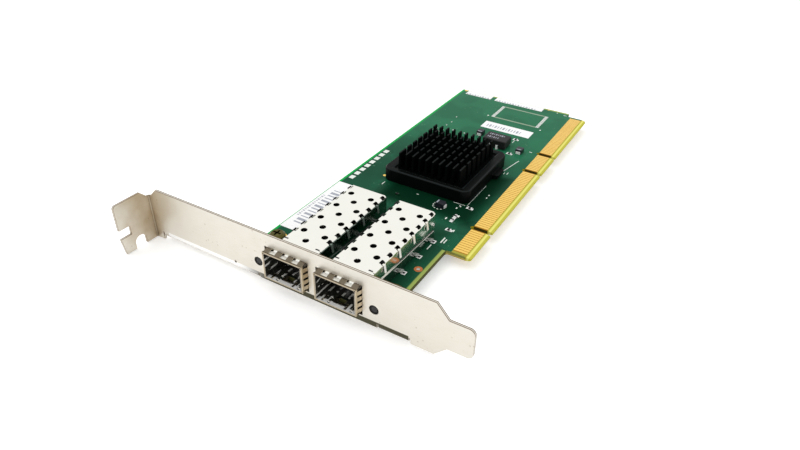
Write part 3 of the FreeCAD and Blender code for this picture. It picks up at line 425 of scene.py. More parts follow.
def painted_shade(shader, colour):
    """Painted shade before the heat sink, towards the connector and beside cage 2; also gives its mask."""
    x, y, _ = shader.place()
    upper_face = shader.above(shader.facing()[2], UPPER_FACE)
    low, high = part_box("heat_sink_frame")
    places = [(low + SINK_SHADE_LOW, high + SINK_SHADE_HIGH, SINK_SHADE_START, SINK_SHADE_SHARE)]
    low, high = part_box("sfp_cage_2_cover")
    places.append((Vector((high.x, low.y, low.z)), high, 0.0, CAGE_SHADE_SHARE))
    mask = 0.0
    for low, high, start, share in places:
        beyond_x = shader.most(shader.minus(low.x, x), shader.minus(x, high.x))
        beyond_y = shader.most(shader.minus(low.y, y), shader.minus(y, high.y))
        near = shader.ramp(shader.most(beyond_x, beyond_y), start, start + SHADE_WIDTH, share, 0.0)
        near = shader.times(near, upper_face)
        # Painted shade: darker green near the heat sink and beside cage 2
        colour = shader.blend(near, colour, PAINTED_SHADE_GREEN)
        mask = shader.most(near, mask)
    return colour, mask


def rims(shader, colour):
    """Olive rim along the ends and the main edge of the board, bright green along its upper edge."""
    x, y, _ = shader.place()
    first_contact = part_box("edge_contacts_component_side")[0].y
    stop, end = [first_contact - room for room in OLIVE_RIM_STOP]
    near = shader.plus(shader.minus(board_high.x - CONNECTOR_DEPTH, x), shader.ramp(y, stop, end))
    ends = shader.least(shader.minus(y, board_low.y), shader.minus(board_high.y, y))
    olive = shader.ramp(shader.least(near, ends), *OLIVE_RIM_EDGE, RIM_SHARE, 0.0)
    green = shader.ramp(shader.minus(x, board_low.x), *GREEN_RIM_EDGE, RIM_SHARE, 0.0)
    return shader.blend(green, shader.blend(olive, colour, OLIVE_RIM), GREEN_RIM)


def contact_field(shader, colour):
    """Gold haze between the contacts, and olive laminate before the first one."""
    low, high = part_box("edge_contacts_component_side")
    haze = shader.blend(shader.noise(CONTACT_HAZE_GRAIN), *CONTACT_HAZE)
    colour = shader.blend(shader.over(low - CONTACT_BORDER, high + CONTACT_BORDER), colour, haze)
    before_low = Vector((low.x, board_low.y, 0.0))
    before_high = Vector((high.x, low.y, 0.0)) - CONTACT_BORDER
    return shader.blend(shader.over(before_low, before_high), colour, BEFORE_CONTACTS)


def bare_laminate(shader):
    """Cut edges of the board: yellow at the connector, with painted shade in its slots and along the main
    edge.
    """
    x, _, z = shader.place()
    outer = board_high.x
    line = shader.ramp(x, outer - BEVEL_WIDTH, outer - BEVEL_LINE)
    face = shader.ramp(x, *[outer - depth for depth in BEVEL_FACE])
    yellow = shader.blend(shader.noise(LAMINATE_GRAIN), *LAMINATE_YELLOWS)
    colour = shader.blend(face, shader.blend(line, *BEVEL_LINE_YELLOWS), yellow)
    low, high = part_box("edge_contacts_component_side")
    slots = shader.over(low, Vector((outer - BEVEL_WIDTH, high.y, 0.0)))
    # Painted shade on the walls of the connector's slots
    colour = shader.blend(slots, colour, SLOT_SHADE)
    layers = shader.ramp(z, *[board_low.z + height for height in NEAR_END_CHANGE])
    near_end = shader.over(board_low, Vector((outer - BEVEL_WIDTH, low.y, 0.0)))
    colour = shader.blend(near_end, colour, shader.blend(layers, *NEAR_END_LAYERS))
    # Painted shade on the main edge, the side turned from the light
    main_edge = shader.below(x, outer - CONNECTOR_DEPTH + MAIN_EDGE_ROOM)
    colour = shader.blend(main_edge, colour, MAIN_EDGE_SHADE)
    return shader.blend(shader.around(PLATED_HOLE, PLATED_HOLE_ROOM), colour, PLATED_HOLE_WALL)


def solder_mask():
    """Green mask over copper, gold haze between the contacts, bare edges, painted shade before the heat sink
    and under the cages.
    """
    shader = Shader("solder_mask")
    clouds = shader.noise(MASK_CLOUDS)
    tracks, vias = tracks_and_vias(shader)
    colour, shade_mask = painted_shade(shader, mask_over_copper(shader, clouds, tracks, vias))
    colour = contact_field(shader, rims(shader, colour))
    upward = shader.facing()[2]
    edges = shader.ramp(shader.size(upward), *BOARD_EDGE_FACE, 1.0, 0.0)
    bevel = shader.ramp(shader.place()[0], board_high.x - BEVEL_WIDTH, board_high.x - BEVEL_FULL)
    bare = shader.most(bevel, edges)
    colour = shader.blend(bare, colour, bare_laminate(shader))
    for number in PORTS:
        # Painted shade on the board's upper face under each cage
        shade_under_cage = shader.over(*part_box(f"sfp_cage_{number}_cover"))
        shade_under_cage = shader.times(shade_under_cage, shader.above(upward, 0.0))
        colour = shader.blend(shade_under_cage, colour, SHADE_UNDER_CAGE)
    shader.set(Base_Color=colour, Specular_IOR_Level=MASK_SPECULAR)
    shader.set(Roughness=shader.ramp(shader.most(bare, shade_mask), 0.0, 1.0, *MASK_ROUGHNESS))
    relief = shader.plus(tracks, shader.times(clouds, CLOUD_RELIEF))
    shader.bump(relief, MASK_DEPTH, MASK_BUMP)
    return shader


# Bracket: its plating, the depth of the screw tab in front of the plate and the thickness of the sheet
NICKEL = ((0.765, 0.735, 0.665), (0.715, 0.675, 0.6), 0.35, 0.4, (0.12, 1.0, 1.0))
TAB_DEPTH = 13.6 * MM
SHEET = 0.86 * MM

# Painted shade round the fold and in it: where it fades, how fast along the plate and the tab, and its uneven
# edge
FOLD_SIDE_SHADE = (0.46, 0.355, 0.225)
FOLD_SIDE_FADE = (1.5 * MM, 25.5 * MM)
SHADE_PLATE_RATE = 3.5
SHADE_TAB_RATE = 0.95
SHADE_CLOUDS = 5.0
SHADE_UNEVEN = 14.0 * MM
FOLD_LINE_SHADE = (0.19, 0.145, 0.09)
FOLD_LINE_FADE = (0.5 * MM, 0.6 * MM)
FOLD_LINE_SHARE = 0.6

# Specks: pitch in millimetres, limits of their size, and the fields in which they lie
SPECK_BROWN = (0.33, 0.25, 0.16)
SPECK_PITCH = 1.9
SPECK_EDGE = (0.08, 0.2)
SPECK_SHARE = 0.45
SPECK_FIELD = 9.0
SPECK_FIELD_EDGE = (0.5, 0.62)

# Sheared edges: brown lines between these distances from the middle of the sheet
EDGE_BROWN = (0.17, 0.11, 0.055)
EDGE_LINE = (0.14 * SHEET, 0.26 * SHEET)
EDGE_LINE_END = 0.55 * SHEET

# Rolled edge: height, faces that count as its front, colours of its painted reflections, and the length over
# which they change
ROLL_TOP = 3.6 * MM
ROLL_FADE = 0.95 * ROLL_TOP
ROLL_FRONT = (-0.6, -0.45)
ROLL_REFLECTIONS = ((0.98, 0.975, 0.965), (0.075, 0.07, 0.042))
ROLL_MARGIN = 14.0 * MM


def fold_shade_and_specks(shader, colour):
    """Painted shade in brown on both sides of the fold, a darker line of painted shade in the fold, and
    specks.
    """
    x, y, _ = shader.place()
    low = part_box("bracket")[0]
    along_plate = shader.minus(x, low.x)
    along_tab = shader.minus(low.y + TAB_DEPTH, y)
    beside = shader.most(shader.times(along_plate, SHADE_PLATE_RATE), shader.times(along_tab, SHADE_TAB_RATE))
    beside = shader.plus(beside, shader.times(shader.noise(SHADE_CLOUDS), SHADE_UNEVEN))
    # Painted shade in brown on both sides of the fold
    colour = shader.blend(shader.ramp(beside, *FOLD_SIDE_FADE, 1.0, 0.0), colour, FOLD_SIDE_SHADE)
    fold = shader.most(shader.minus(along_plate, SHEET), along_tab)
    # Painted shade in the fold
    colour = shader.blend(shader.ramp(fold, *FOLD_LINE_FADE, FOLD_LINE_SHARE, 0.0), colour, FOLD_LINE_SHADE)
    specks = shader.ramp(shader.cells(SPECK_PITCH, "Distance"), *SPECK_EDGE, SPECK_SHARE, 0.0)
    field = shader.ramp(shader.noise(SPECK_FIELD, SPECK_DETAIL), *SPECK_FIELD_EDGE)
    return shader.blend(shader.times(specks, field), colour, SPECK_BROWN)


def rolled_edge_reflection(shader, colour):
    """Front of the rolled lower edge: a painted reflection, white beside the tab and dark from the first
    module opening on.
    """
    x, y, z = shader.place()
    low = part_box("bracket")[0]
    roll = shader.ramp(z, low.z + ROLL_FADE, low.z + ROLL_TOP, 1.0, 0.0)
    roll = shader.times(roll, shader.below(shader.minus(y, low.y + TAB_DEPTH), ROLL_TOP))
    roll = shader.times(roll, shader.below(x, board_high.x))
    roll = shader.times(roll, shader.above(x, low.x + TAB_DEPTH / 2))
    roll = shader.times(roll, shader.ramp(shader.facing()[1], *ROLL_FRONT, 1.0, 0.0))
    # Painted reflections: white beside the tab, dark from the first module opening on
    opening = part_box("sfp_cage_1_cover")[0].x
    shade = shader.ramp(x, opening - ROLL_MARGIN, opening)
    return shader.blend(roll, colour, shader.blend(shade, *ROLL_REFLECTIONS))


def edge_lines(shader, depth, sideways):
    """Brown lines along both arrises of a sheared edge. Depth is measured through the sheet."""
    middle = shader.size(shader.minus(depth, SHEET / 2))
    lines = shader.times(shader.ramp(middle, *EDGE_LINE), shader.below(middle, EDGE_LINE_END))
    return shader.times(lines, shader.below(sideways, SIDE_FACE))


def nickel_plate():
    """Warm satin nickel with painted shade in brown round the tab's fold, brown along the sheared edges, and
    painted reflections on the rolled edge.
    """
    shader = metal("nickel_plate", *NICKEL)
    x, y, _ = shader.place()
    facing_x, facing_y, _ = [shader.size(part) for part in shader.facing()]
    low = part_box("bracket")[0]
    plate_front = low.y + TAB_DEPTH
    colour = rolled_edge_reflection(shader, fold_shade_and_specks(shader, shader.colour()))
    plate_lines = edge_lines(shader, shader.minus(y, plate_front), facing_y)
    tab_lines = edge_lines(shader, shader.minus(x, low.x), facing_x)
    tab_lines = shader.times(tab_lines, shader.below(y, plate_front - SHEET))
    lines = shader.most(plate_lines, tab_lines)
    shader.set(Base_Color=shader.blend(lines, colour, EDGE_BROWN))
    return shader


# Cage: its plating, which is less metallic inside, on its raised sides and in front of the bracket, and the
# painted shade between the cages
TIN_PLATE = ((0.94, 0.93, 0.865), (0.895, 0.885, 0.815), 0.6, 0.15, (1.0, 0.2, 1.0))
TIN_METALLIC = (1.0, 0.1)
ROOF_THICKNESS = 0.5 * MM
SHADE_BETWEEN_CAGES = (0.16, 0.2, 0.17)

# Inside of a cage: faces that count as inner ones, its painted shade, depth of the lip, and depths between
# which the painted shade darkens it
INNER_FACE = (-1.0 * MM, -0.5 * MM)
INNER_SHADE = (0.02, 0.02, 0.018)
MOUTH_BRIGHT = 2.0 * MM
MOUTH_DARK = 15.0 * MM
LIP_DEPTH = 1.4 * MM
LIP_END = 1.1 * LIP_DEPTH
LIP_WHITE = (0.95, 0.94, 0.91)
MOUTH_RIM = (0.42, 0.36, 0.27)
MOUTH_RIM_FACE = -0.6

# Painted reflections in streaks that run into the mouth: pitch, limits, and the size in millimetres of the
# noise that breaks them
STREAK_REFLECTIONS = ((0.025, 0.025, 0.02), (0.95, 0.94, 0.88))
STREAK_PITCH = 2.3 * MM
STREAK_EDGE = (0.4, 0.75)
STREAK_FIELD = 2.4
STREAK_FIELD_EDGE = (0.46, 0.53)

# Skirts outside a cage: room to its side, start from the mouth, height over the board, fall along the cage
SKIRT_GREY = (0.4, 0.42, 0.39)
SKIRT_ROOM = 0.05 * MM
SKIRT_START = 12.5 * MM
SKIRT_RISE = 4.35 * MM
SKIRT_FALL = 0.0533

# Painted shade on the corners of a cage, up to a little behind the bracket
CORNER_SHADE = (0.07, 0.06, 0.045)
CORNER_WIDTH = 1.0 * MM
CORNER_REACH = 4.0 * MM


def cage_inside(shader, mouth, upward):
    """Inside of a cage: painted reflections in bright streaks that fade into painted shade, and a white lip
    on its floor.
    """
    x, y, z = shader.place()
    waves = shader.math("SINE", shader.times(shader.plus(x, z), math.tau / STREAK_PITCH))
    field = shader.ramp(shader.noise(STREAK_FIELD, COARSE_DETAIL), *STREAK_FIELD_EDGE)
    streaks = shader.times(shader.ramp(waves, *STREAK_EDGE), field)
    # Painted shade that deepens away from the mouth, over painted reflections in streaks
    depth = shader.ramp(y, mouth + MOUTH_BRIGHT, mouth + MOUTH_DARK)
    inner = shader.blend(depth, shader.blend(streaks, *STREAK_REFLECTIONS), INNER_SHADE)
    lip = shader.ramp(y, mouth + LIP_DEPTH, mouth + LIP_END, 1.0, 0.0)
    return shader.blend(shader.times(lip, shader.above(upward, UPPER_FACE)), inner, LIP_WHITE)


def cage_plate(name, cage):
    """Bright tin plate: painted shade between the cages, duller on skirts, painted shade and painted
    reflections inside, painted shade at the corners.
    """
    shader = metal(name, *TIN_PLATE)
    low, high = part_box(cage + "_cover")
    half_width = (high.x - low.x) / 2
    plate_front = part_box("bracket")[0].y + TAB_DEPTH
    x, y, z = shader.place()
    normal_x, normal_y, normal_z = shader.facing()
    sideways = shader.minus(x, (low.x + high.x) / 2)
    upward = shader.minus(z, (low.z + high.z) / 2)
    outward = shader.plus(shader.times(sideways, normal_x), shader.times(upward, normal_z))
    inward = shader.ramp(outward, *INNER_FACE, 1.0, 0.0)
    room = Vector((ROOF_THICKNESS, high.y - low.y, 0.0))
    # Painted shade on the walls between the cages
    shaded_between = shader.over(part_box("sfp_cage_1_cover")[1] - room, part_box("sfp_cage_2_cover")[0] + room)
    shaded_between = shader.times(shaded_between, shader.below(z, high.z - ROOF_THICKNESS))
    colour = shader.blend(shaded_between, shader.colour(), SHADE_BETWEEN_CAGES)
    colour = shader.blend(inward, colour, cage_inside(shader, low.y, normal_z))
    rim = shader.times(shader.below(normal_y, MOUTH_RIM_FACE), shader.below(y, low.y + LIP_DEPTH))
    colour = shader.blend(rim, colour, MOUTH_RIM)
    outside = shader.above(shader.size(sideways), half_width + SKIRT_ROOM)
    fall = shader.times(shader.minus(y, low.y + SKIRT_START), SKIRT_FALL)
    raised = shader.above(z, shader.minus(board_high.z + SKIRT_RISE, fall))
    colour = shader.blend(shader.minus(outside, raised), colour, SKIRT_GREY)
    # Painted shade on the outer faces near the corners
    corner = shader.above(shader.size(sideways), half_width - CORNER_WIDTH)
    corner = shader.times(corner, shader.below(y, plate_front + CORNER_REACH))
    corner = shader.times(corner, shader.above(outward, 0.0))
    shader.set(Base_Color=shader.blend(corner, colour, CORNER_SHADE))
    dull = shader.most(inward, shader.times(outside, raised))
    dull = shader.most(dull, shader.below(y, plate_front))
    shader.set(Metallic=shader.ramp(dull, 0.0, 1.0, *TIN_METALLIC))
    return shader


# Collar: its plating, and the painted highlight on the faces that turn to the side or the front
COLLAR = ((0.26, 0.22, 0.165), (0.17, 0.14, 0.1), 0.4, 0.36)
COLLAR_SIDE_HIGHLIGHT = (0.62, 0.52, 0.37)
COLLAR_TURN = (0.5, 0.8)


def collar_spring():
    """Plated spring copper, dull on the wide fingers, with a painted highlight on the side fingers and the
    front edge.
    """
    shader = metal("collar_spring", *COLLAR)
    facing_x, facing_y, _ = [shader.size(part) for part in shader.facing()]
    # Painted highlight on faces turned to the side or the front
    side_highlight = shader.ramp(shader.most(facing_x, facing_y), *COLLAR_TURN)
    shader.set(Base_Color=shader.blend(side_highlight, shader.colour(), COLLAR_SIDE_HIGHLIGHT))
    return shader


# Heat sink: its coat, gloss, and the depth and colour of the painted highlight on its tips
ANODISED = ((0.0022, 0.0026, 0.0027), (0.001, 0.0013, 0.0014), 0.5, 0.45)
ANODISED_SPECULAR = 0.015
TIP_DEPTH = 0.3 * MM
TIP_SHARE = 0.5
TIP_HIGHLIGHT = (0.022, 0.026, 0.026)

# Frame of the heat sink: its plastic, gloss, and the depth and colour of the painted highlight along its edge
FRAME_BLACK = ((0.0026, 0.0036, 0.0036), (0.0012, 0.0016, 0.0016), 0.3, 0.38)
FRAME_SPECULAR = 0.05
FRAME_HIGHLIGHT_DEPTH = 0.5 * MM
FRAME_HIGHLIGHT_SHARE = 0.5
FRAME_HIGHLIGHT = (0.03, 0.036, 0.036)


def sink_anodised():
    """Black anodised aluminium with a painted highlight on its tips."""
    shader = moulded("sink_anodised", *ANODISED)
    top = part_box("heat_sink")[1].z
    # Painted highlight on the tips of the pins
    tips = shader.ramp(shader.place()[2], top - TIP_DEPTH, top, 0.0, TIP_SHARE)
    shader.set(Base_Color=shader.blend(tips, shader.colour(), TIP_HIGHLIGHT))
    shader.set(Specular_IOR_Level=ANODISED_SPECULAR)
    return shader


def frame_plastic():
    """Black moulding with a painted highlight along the upper edge of its sides."""
    shader = moulded("frame_plastic", *FRAME_BLACK)
    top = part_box("heat_sink_frame")[1].z
    # Painted highlight along the upper edge of the sides
    rim_highlight = shader.ramp(shader.place()[2], top - FRAME_HIGHLIGHT_DEPTH, top - FRAME_HIGHLIGHT_DEPTH / 2, 0.0, FRAME_HIGHLIGHT_SHARE)
    rim_highlight = shader.times(rim_highlight, shader.below(shader.facing()[2], SIDE_FACE))
    shader.set(Base_Color=shader.blend(rim_highlight, shader.colour(), FRAME_HIGHLIGHT))
    shader.set(Specular_IOR_Level=FRAME_SPECULAR)
    return shader


# Lens of a light: its plastic, relief in millimetres, gloss, and the black rim as shares of the radius
LENS = ((0.05, 0.05, 0.05), (0.035, 0.035, 0.035), 0.3, 0.3)
LENS_DEPTH = 0.002
LENS_SPECULAR = 0.15
LENS_RIM = (0.55, 0.72)
LENS_BLACK = (0.004, 0.004, 0.004)


def light_lens():
    """Smoky lens that is black at its rim."""
    shader = moulded("light_lens", *LENS, LENS_DEPTH)
    x, _, z = shader.place()
    beyond = []
    for number in PORTS:
        low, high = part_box(f"led_{number}_lens")
        radius = (high.x - low.x) / 2
        across = shader.minus(x, (low.x + high.x) / 2)
        up = shader.minus(z, (low.z + high.z) / 2)
        square = shader.plus(shader.times(across, across), shader.times(up, up))
        limits = [radius * share for share in LENS_RIM]
        beyond.append(shader.ramp(shader.math("SQRT", square), *limits))
    shader.set(Base_Color=shader.blend(shader.least(*beyond), shader.colour(), LENS_BLACK))
    shader.set(Specular_IOR_Level=LENS_SPECULAR)
    return shader


# Chip in the painted shade before the heat sink, half the side of a square round it, and the painted shade on
# its ends
SHADED_CHIP = (24.0, 59.5)
SHADED_CHIP_ROOM = 1.6 * MM
SHADED_CHIP_ENDS = (0.006, 0.04, 0.018)


def chip_solder():
    """White solder on the ends of the chips, with painted shade on the one before the heat sink."""
    shader = moulded("chip_solder", *PLAIN_MOULDINGS["white_solder"])
    # Painted shade on the ends of the chip before the heat sink
    dull = shader.around(SHADED_CHIP, SHADED_CHIP_ROOM)
    shader.set(Base_Color=shader.blend(dull, shader.colour(), SHADED_CHIP_ENDS))
    return shader


SHADERS = [solder_mask(), nickel_plate(), collar_spring(), sink_anodised(), frame_plastic(), light_lens()]
SHADERS.append(chip_solder())
SHADERS += [cage_plate(f"cage_{number}_plate", f"sfp_cage_{number}") for number in PORTS]
SHADERS += [metal(name, *surface) for name, surface in PLAIN_METALS.items()]
SHADERS += [moulded(name, *surface) for name, surface in PLAIN_MOULDINGS.items()]
SHADERS += [black_moulding(name, *surface) for name, surface in BLACK_MOULDINGS.items()]
MATERIALS = {shader.name: shader.material for shader in SHADERS}

NODE_MATERIALS = {
    "circuit_board": "solder_mask",
    "edge_contacts_component_side": "gold_plating",
    "edge_contacts_solder_side": "gold_plating",
    "bracket": "nickel_plate",
    "bracket_screws": "screw_steel",
    "controller_substrate": "substrate",
    "controller_lid": "lid_metal",
    "thermal_pad": "pad_rubber",
    "heat_sink": "sink_anodised",
    "heat_sink_frame": "frame_plastic",
    "oscillator_body": "package_black",
    "oscillator_leads": "white_solder",
    "capacitor_bodies": "capacitor_case",
    "capacitor_terminals": "white_solder",
    "chip_resistor_bodies": "package_black",
    "chip_resistor_ends": "chip_solder",
    "led_leads": "solder_tin",
    "barcode_label": "label_paper",
    "serial_label": "label_paper",
    "board_end_labels": "label_paper",
}
for number in PORTS:
    NODE_MATERIALS[f"sfp_cage_{number}_cover"] = f"cage_{number}_plate"
    NODE_MATERIALS[f"sfp_cage_{number}_base"] = f"cage_{number}_plate"
    NODE_MATERIALS[f"sfp_cage_{number}_emi_collar"] = "collar_spring"
    NODE_MATERIALS[f"sfp_connector_{number}_housing"] = "socket_plastic"
    NODE_MATERIALS[f"sfp_connector_{number}_contacts"] = "gold_plating"
    NODE_MATERIALS[f"led_{number}_housing"] = "light_housing"
    NODE_MATERIALS[f"led_{number}_lens"] = "light_lens"

# Nodes whose sharp edges catch the light, with the width of the softened edge in millimetres
SOFT_EDGES = {
    "bracket": 0.12,
    "bracket_screws": 0.08,
    "heat_sink": 0.08,
    "heat_sink_frame": 0.12,
    "oscillator_body": 0.1,
    "capacitor_bodies": 0.1,
}
SOFT_EDGE_ANGLE = 50.0
SOFT_EDGE_SEGMENTS = 2
WELD_DISTANCE = 0.001 * MM


def dress_nodes():
    """Gives each solid its material and softens the edges of some of them."""
    for name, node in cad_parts.items():
        node.data.materials.clear()
        node.data.materials.append(MATERIALS[NODE_MATERIALS[name]])
    for name, width in SOFT_EDGES.items():
        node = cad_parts[name]
        node.modifiers.new("joined", "WELD").merge_threshold = WELD_DISTANCE
        edge = node.modifiers.new("soft_edge", "BEVEL")
        edge.width = width * MM
        edge.segments = SOFT_EDGE_SEGMENTS
        edge.angle_limit = math.radians(SOFT_EDGE_ANGLE)


def bar(start, end, width):
    """Outline of a straight stroke between two places on the board."""
    first, last = Vector(on_board(*start)), Vector(on_board(*end))
    side = (last - first).orthogonal().normalized() * width * MM / 2
    return [first + side, first - side, last - side, last + side]


def pad(inset, reach, size_across, size_along):
    """Outline of a rectangle with its middle at a place on the board."""
    return bar((inset, reach - size_along / 2), (inset, reach + size_along / 2), size_across)


def circle_point(inset, reach, radius, turn):
    return Vector(on_board(inset + radius * math.cos(turn), reach + radius * math.sin(turn)))


def disc(inset, reach, radius):
    turns = [math.tau * step / DISC_SIDES for step in range(DISC_SIDES)]
    return [circle_point(inset, reach, radius, turn) for turn in turns]


def ring(inset, reach, inner, outer, dashed=False):
    """Wedges that make a ring, or every other one for a dashed circle."""
    wedges = []
    for step in range(0, RING_SIDES, 2 if dashed else 1):
        start = math.tau * step / RING_SIDES
        end = math.tau * (step + 1) / RING_SIDES
        wedges.append([
            circle_point(inset, reach, inner, start),
            circle_point(inset, reach, outer, start),
            circle_point(inset, reach, outer, end),
            circle_point(inset, reach, inner, end),
        ])
    return wedges


def layer(name, outlines, material, low, thickness):
    """Thin closed plates with the given outlines, as one piece that rides on the board."""
    mesh = bpy.data.meshes.new(name)
    shape = bmesh.new()
    for outline in outlines:
        lower = [shape.verts.new((*point, low)) for point in outline]
        upper = [shape.verts.new((*point, low + thickness * MM)) for point in outline]
        shape.faces.new(lower)
        shape.faces.new(upper)
        for place in range(len(outline)):
            following = (place + 1) % len(outline)
            shape.faces.new([lower[place], lower[following], upper[following], upper[place]])
    bmesh.ops.recalc_face_normals(shape, faces=shape.faces)
    shape.to_mesh(mesh)
    shape.free()
    mesh.materials.append(MATERIALS[material])
    piece = bpy.data.objects.new(name, mesh)
    bpy.context.scene.collection.objects.link(piece)
    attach(piece, "root")


# Bare footprint of the memory chip that isn't fitted
MEMORY_PADS = 28
MEMORY_PITCH = 0.5
MEMORY_PAD = (1.5, 0.34)
MEMORY_COLUMNS = (26.0, 47.6)
MEMORY_MIDDLE = 150.07
MEMORY_BAND_WIDTH = 1.0


def memory_footprint():
    """Two rows of tinned pads with a faded outline between their ends."""
    half = (MEMORY_PADS - 1) / 2
    rows = [MEMORY_MIDDLE + MEMORY_PITCH * (place - half) for place in range(MEMORY_PADS)]
    pads = [pad(column, row, *MEMORY_PAD) for column in MEMORY_COLUMNS for row in rows]
    layer("memory_pads", pads, "solder_tin", board_high.z, PAD_THICKNESS)
    left, right = MEMORY_COLUMNS
    clear = MEMORY_PAD[0] / 2
    ends = (rows[0], rows[-1])
    bands = [bar((left + clear, row), (right - clear, row), MEMORY_BAND_WIDTH) for row in ends]
    layer("memory_outline", bands, "faded_print", board_high.z, PRINT_THICKNESS)


# Rings and dots of bare plating: inset, reach and radius, or inner and outer radius, in millimetres
PLATED_HOLE_RING = (PLATED_HOLE_RADIUS + 0.02, 1.4)
SCREW_PLACES = ((4.3, 14.25), (52.2, 10.45))
SCREW_RING = (1.9, 3.2)
GOLD_DOTS = ((2.0, 165.0, 0.8), (45.6, 165.0, 0.5), (12.6, 69.0, 0.7))
TIN_DOTS = ((11.9, 133.6), (12.5, 127.4), (12.0, 123.3), (16.8, 120.2), (22.4, 120.1), (50.3, 163.7))
TIN_DOT_RADIUS = 0.3


def plated_places():
    """Rings round the holes and the small bare dots."""
    hole_ring = ring(*PLATED_HOLE, *PLATED_HOLE_RING)
    layer("plated_hole_ring", hole_ring, "copper", board_high.z, PAD_THICKNESS)
    rings = [disc(*dot) for dot in GOLD_DOTS]
    for place in SCREW_PLACES:
        rings += ring(*place, *SCREW_RING)
    layer("plated_rings", rings, "gold_plating", board_high.z, PAD_THICKNESS)
    dots = [disc(*place, TIN_DOT_RADIUS) for place in TIN_DOTS]
    layer("test_dots", dots, "solder_tin", board_high.z, PAD_THICKNESS)


def cage_sides(number):
    """Reach of a cage's mouth and insets of its two sides, in millimetres."""
    low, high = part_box(f"sfp_cage_{number}_cover")
    return [(low.y - board_low.y) / MM, (low.x - board_low.x) / MM, (high.x - board_low.x) / MM]


# Feet of the cages: rows along the cage from its mouth, and the lands and slots beside it
FOOT_COUNT = 4
FOOT_START = 14.8
FOOT_PITCH = 9.8
FOOT_LAND = (1.6, 1.8)
FOOT_LAND_OFFSET = 1.4
FOOT_SLOT = (0.8, 0.9)

# Joints on the solder side: places of the cages' pins and of the lights' leads, and size of a joint
PIN_OFFSET = 0.5
LEAD_OFFSET = 1.27
JOINT_RADIUS = 0.85
JOINT_THICKNESS = 0.15

# Chip resistors with lands: place on the board, and whether the chip lies along the board
CHIPS = (
    (51.0, 48.7, False),
    (49.2, 54.9, True),
    (49.2, 57.4, True),
    (51.2, 65.0, False),
    (46.9, 112.5, False),
    (9.5, 117.0, True),
    (12.5, 117.0, True),
    (44.3, 126.3, False),
)
CHIP_LAND = (2.6, 1.2)


def solder_lands():
    """Lands with dark slots beside the cages, lands under chips, and joints on the solder side."""
    lands, slots, joints = [], [], []
    for number in PORTS:
        mouth, left, right = cage_sides(number)
        for row in range(FOOT_COUNT):
            reach = mouth + FOOT_START + FOOT_PITCH * row
            for side in (left - FOOT_LAND_OFFSET, right + FOOT_LAND_OFFSET):
                lands.append(pad(side, reach, *FOOT_LAND))
                slots.append(pad(side, reach, *FOOT_SLOT))
            for side in (left - PIN_OFFSET, right + PIN_OFFSET):
                joints.append(disc(side, reach, JOINT_RADIUS))
        low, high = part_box(f"led_{number}_housing")
        middle = ((low + high) / 2 - board_low) / MM
        for side in (middle.x - LEAD_OFFSET, middle.x + LEAD_OFFSET):
            joints.append(disc(side, middle.y, JOINT_RADIUS))
    for inset, reach, lengthwise in CHIPS:
        lands.append(pad(inset, reach, *(CHIP_LAND[::-1] if lengthwise else CHIP_LAND)))
    layer("solder_lands", lands, "white_solder", board_high.z, PAD_THICKNESS)
    land_top = board_high.z + PAD_THICKNESS * MM
    layer("foot_slots", slots, "package_black", land_top, PRINT_THICKNESS)
    joint_low = board_low.z - JOINT_THICKNESS * MM
    layer("solder_joints", joints, "solder_tin", joint_low, JOINT_THICKNESS)


# Painted shade in the notches and front slits in the roof of a cage, as dark plates, in millimetres from its
# mouth, side and roof
NOTCH_COUNT = 8
NOTCH_START = 15.1
NOTCH_PITCH = 4.37
NOTCH_SHADE = (0.2, 1.9)
NOTCH_SHADE_DROP = 0.66
NOTCH_SHADE_HEIGHT = 0.56
SLIT_REACH = 9.85
SLIT_INSET = 1.3
SLIT_SHADE = (1.4, 0.55)


def roof_shadows():
    """Dark plates of painted shade behind the notches on a cage's upper side and over the front slits."""
    notch_shades, marks = [], []
    for number in PORTS:
        mouth, left, right = cage_sides(number)
        for row in range(NOTCH_COUNT):
            reach = mouth + NOTCH_START + NOTCH_PITCH * row
            notch_shades.append(pad(left + NOTCH_SHADE[0] / 2, reach, *NOTCH_SHADE))
        for place in (left + SLIT_INSET, right - SLIT_INSET):
            marks.append(pad(place, mouth + SLIT_REACH, *SLIT_SHADE))
    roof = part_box("sfp_cage_2_cover")[1].z
    # Dark plates of painted shade in the notches and over the slits
    notch_shade_low = roof - NOTCH_SHADE_DROP * MM
    layer("notch_painted_shade", notch_shades, "package_black", notch_shade_low, NOTCH_SHADE_HEIGHT)
    layer("slit_painted_shade", marks, "package_black", roof, PRINT_THICKNESS)


# Polarity bands on the capacitors: height over the board, then place and size of each band
CAPACITOR_TOP = 1.9
CAPACITOR_BANDS = ((28.9, 122.1, 1.9, 0.5), (50.0, 115.0, 1.9, 0.5), (40.4, 60.7, 0.5, 1.9))


def capacitor_bands():
    """Pale band at one end of each capacitor."""
    bands = [pad(*band) for band in CAPACITOR_BANDS]
    top = board_high.z + CAPACITOR_TOP * MM
    layer("capacitor_bands", bands, "grey_print", top, PRINT_THICKNESS)


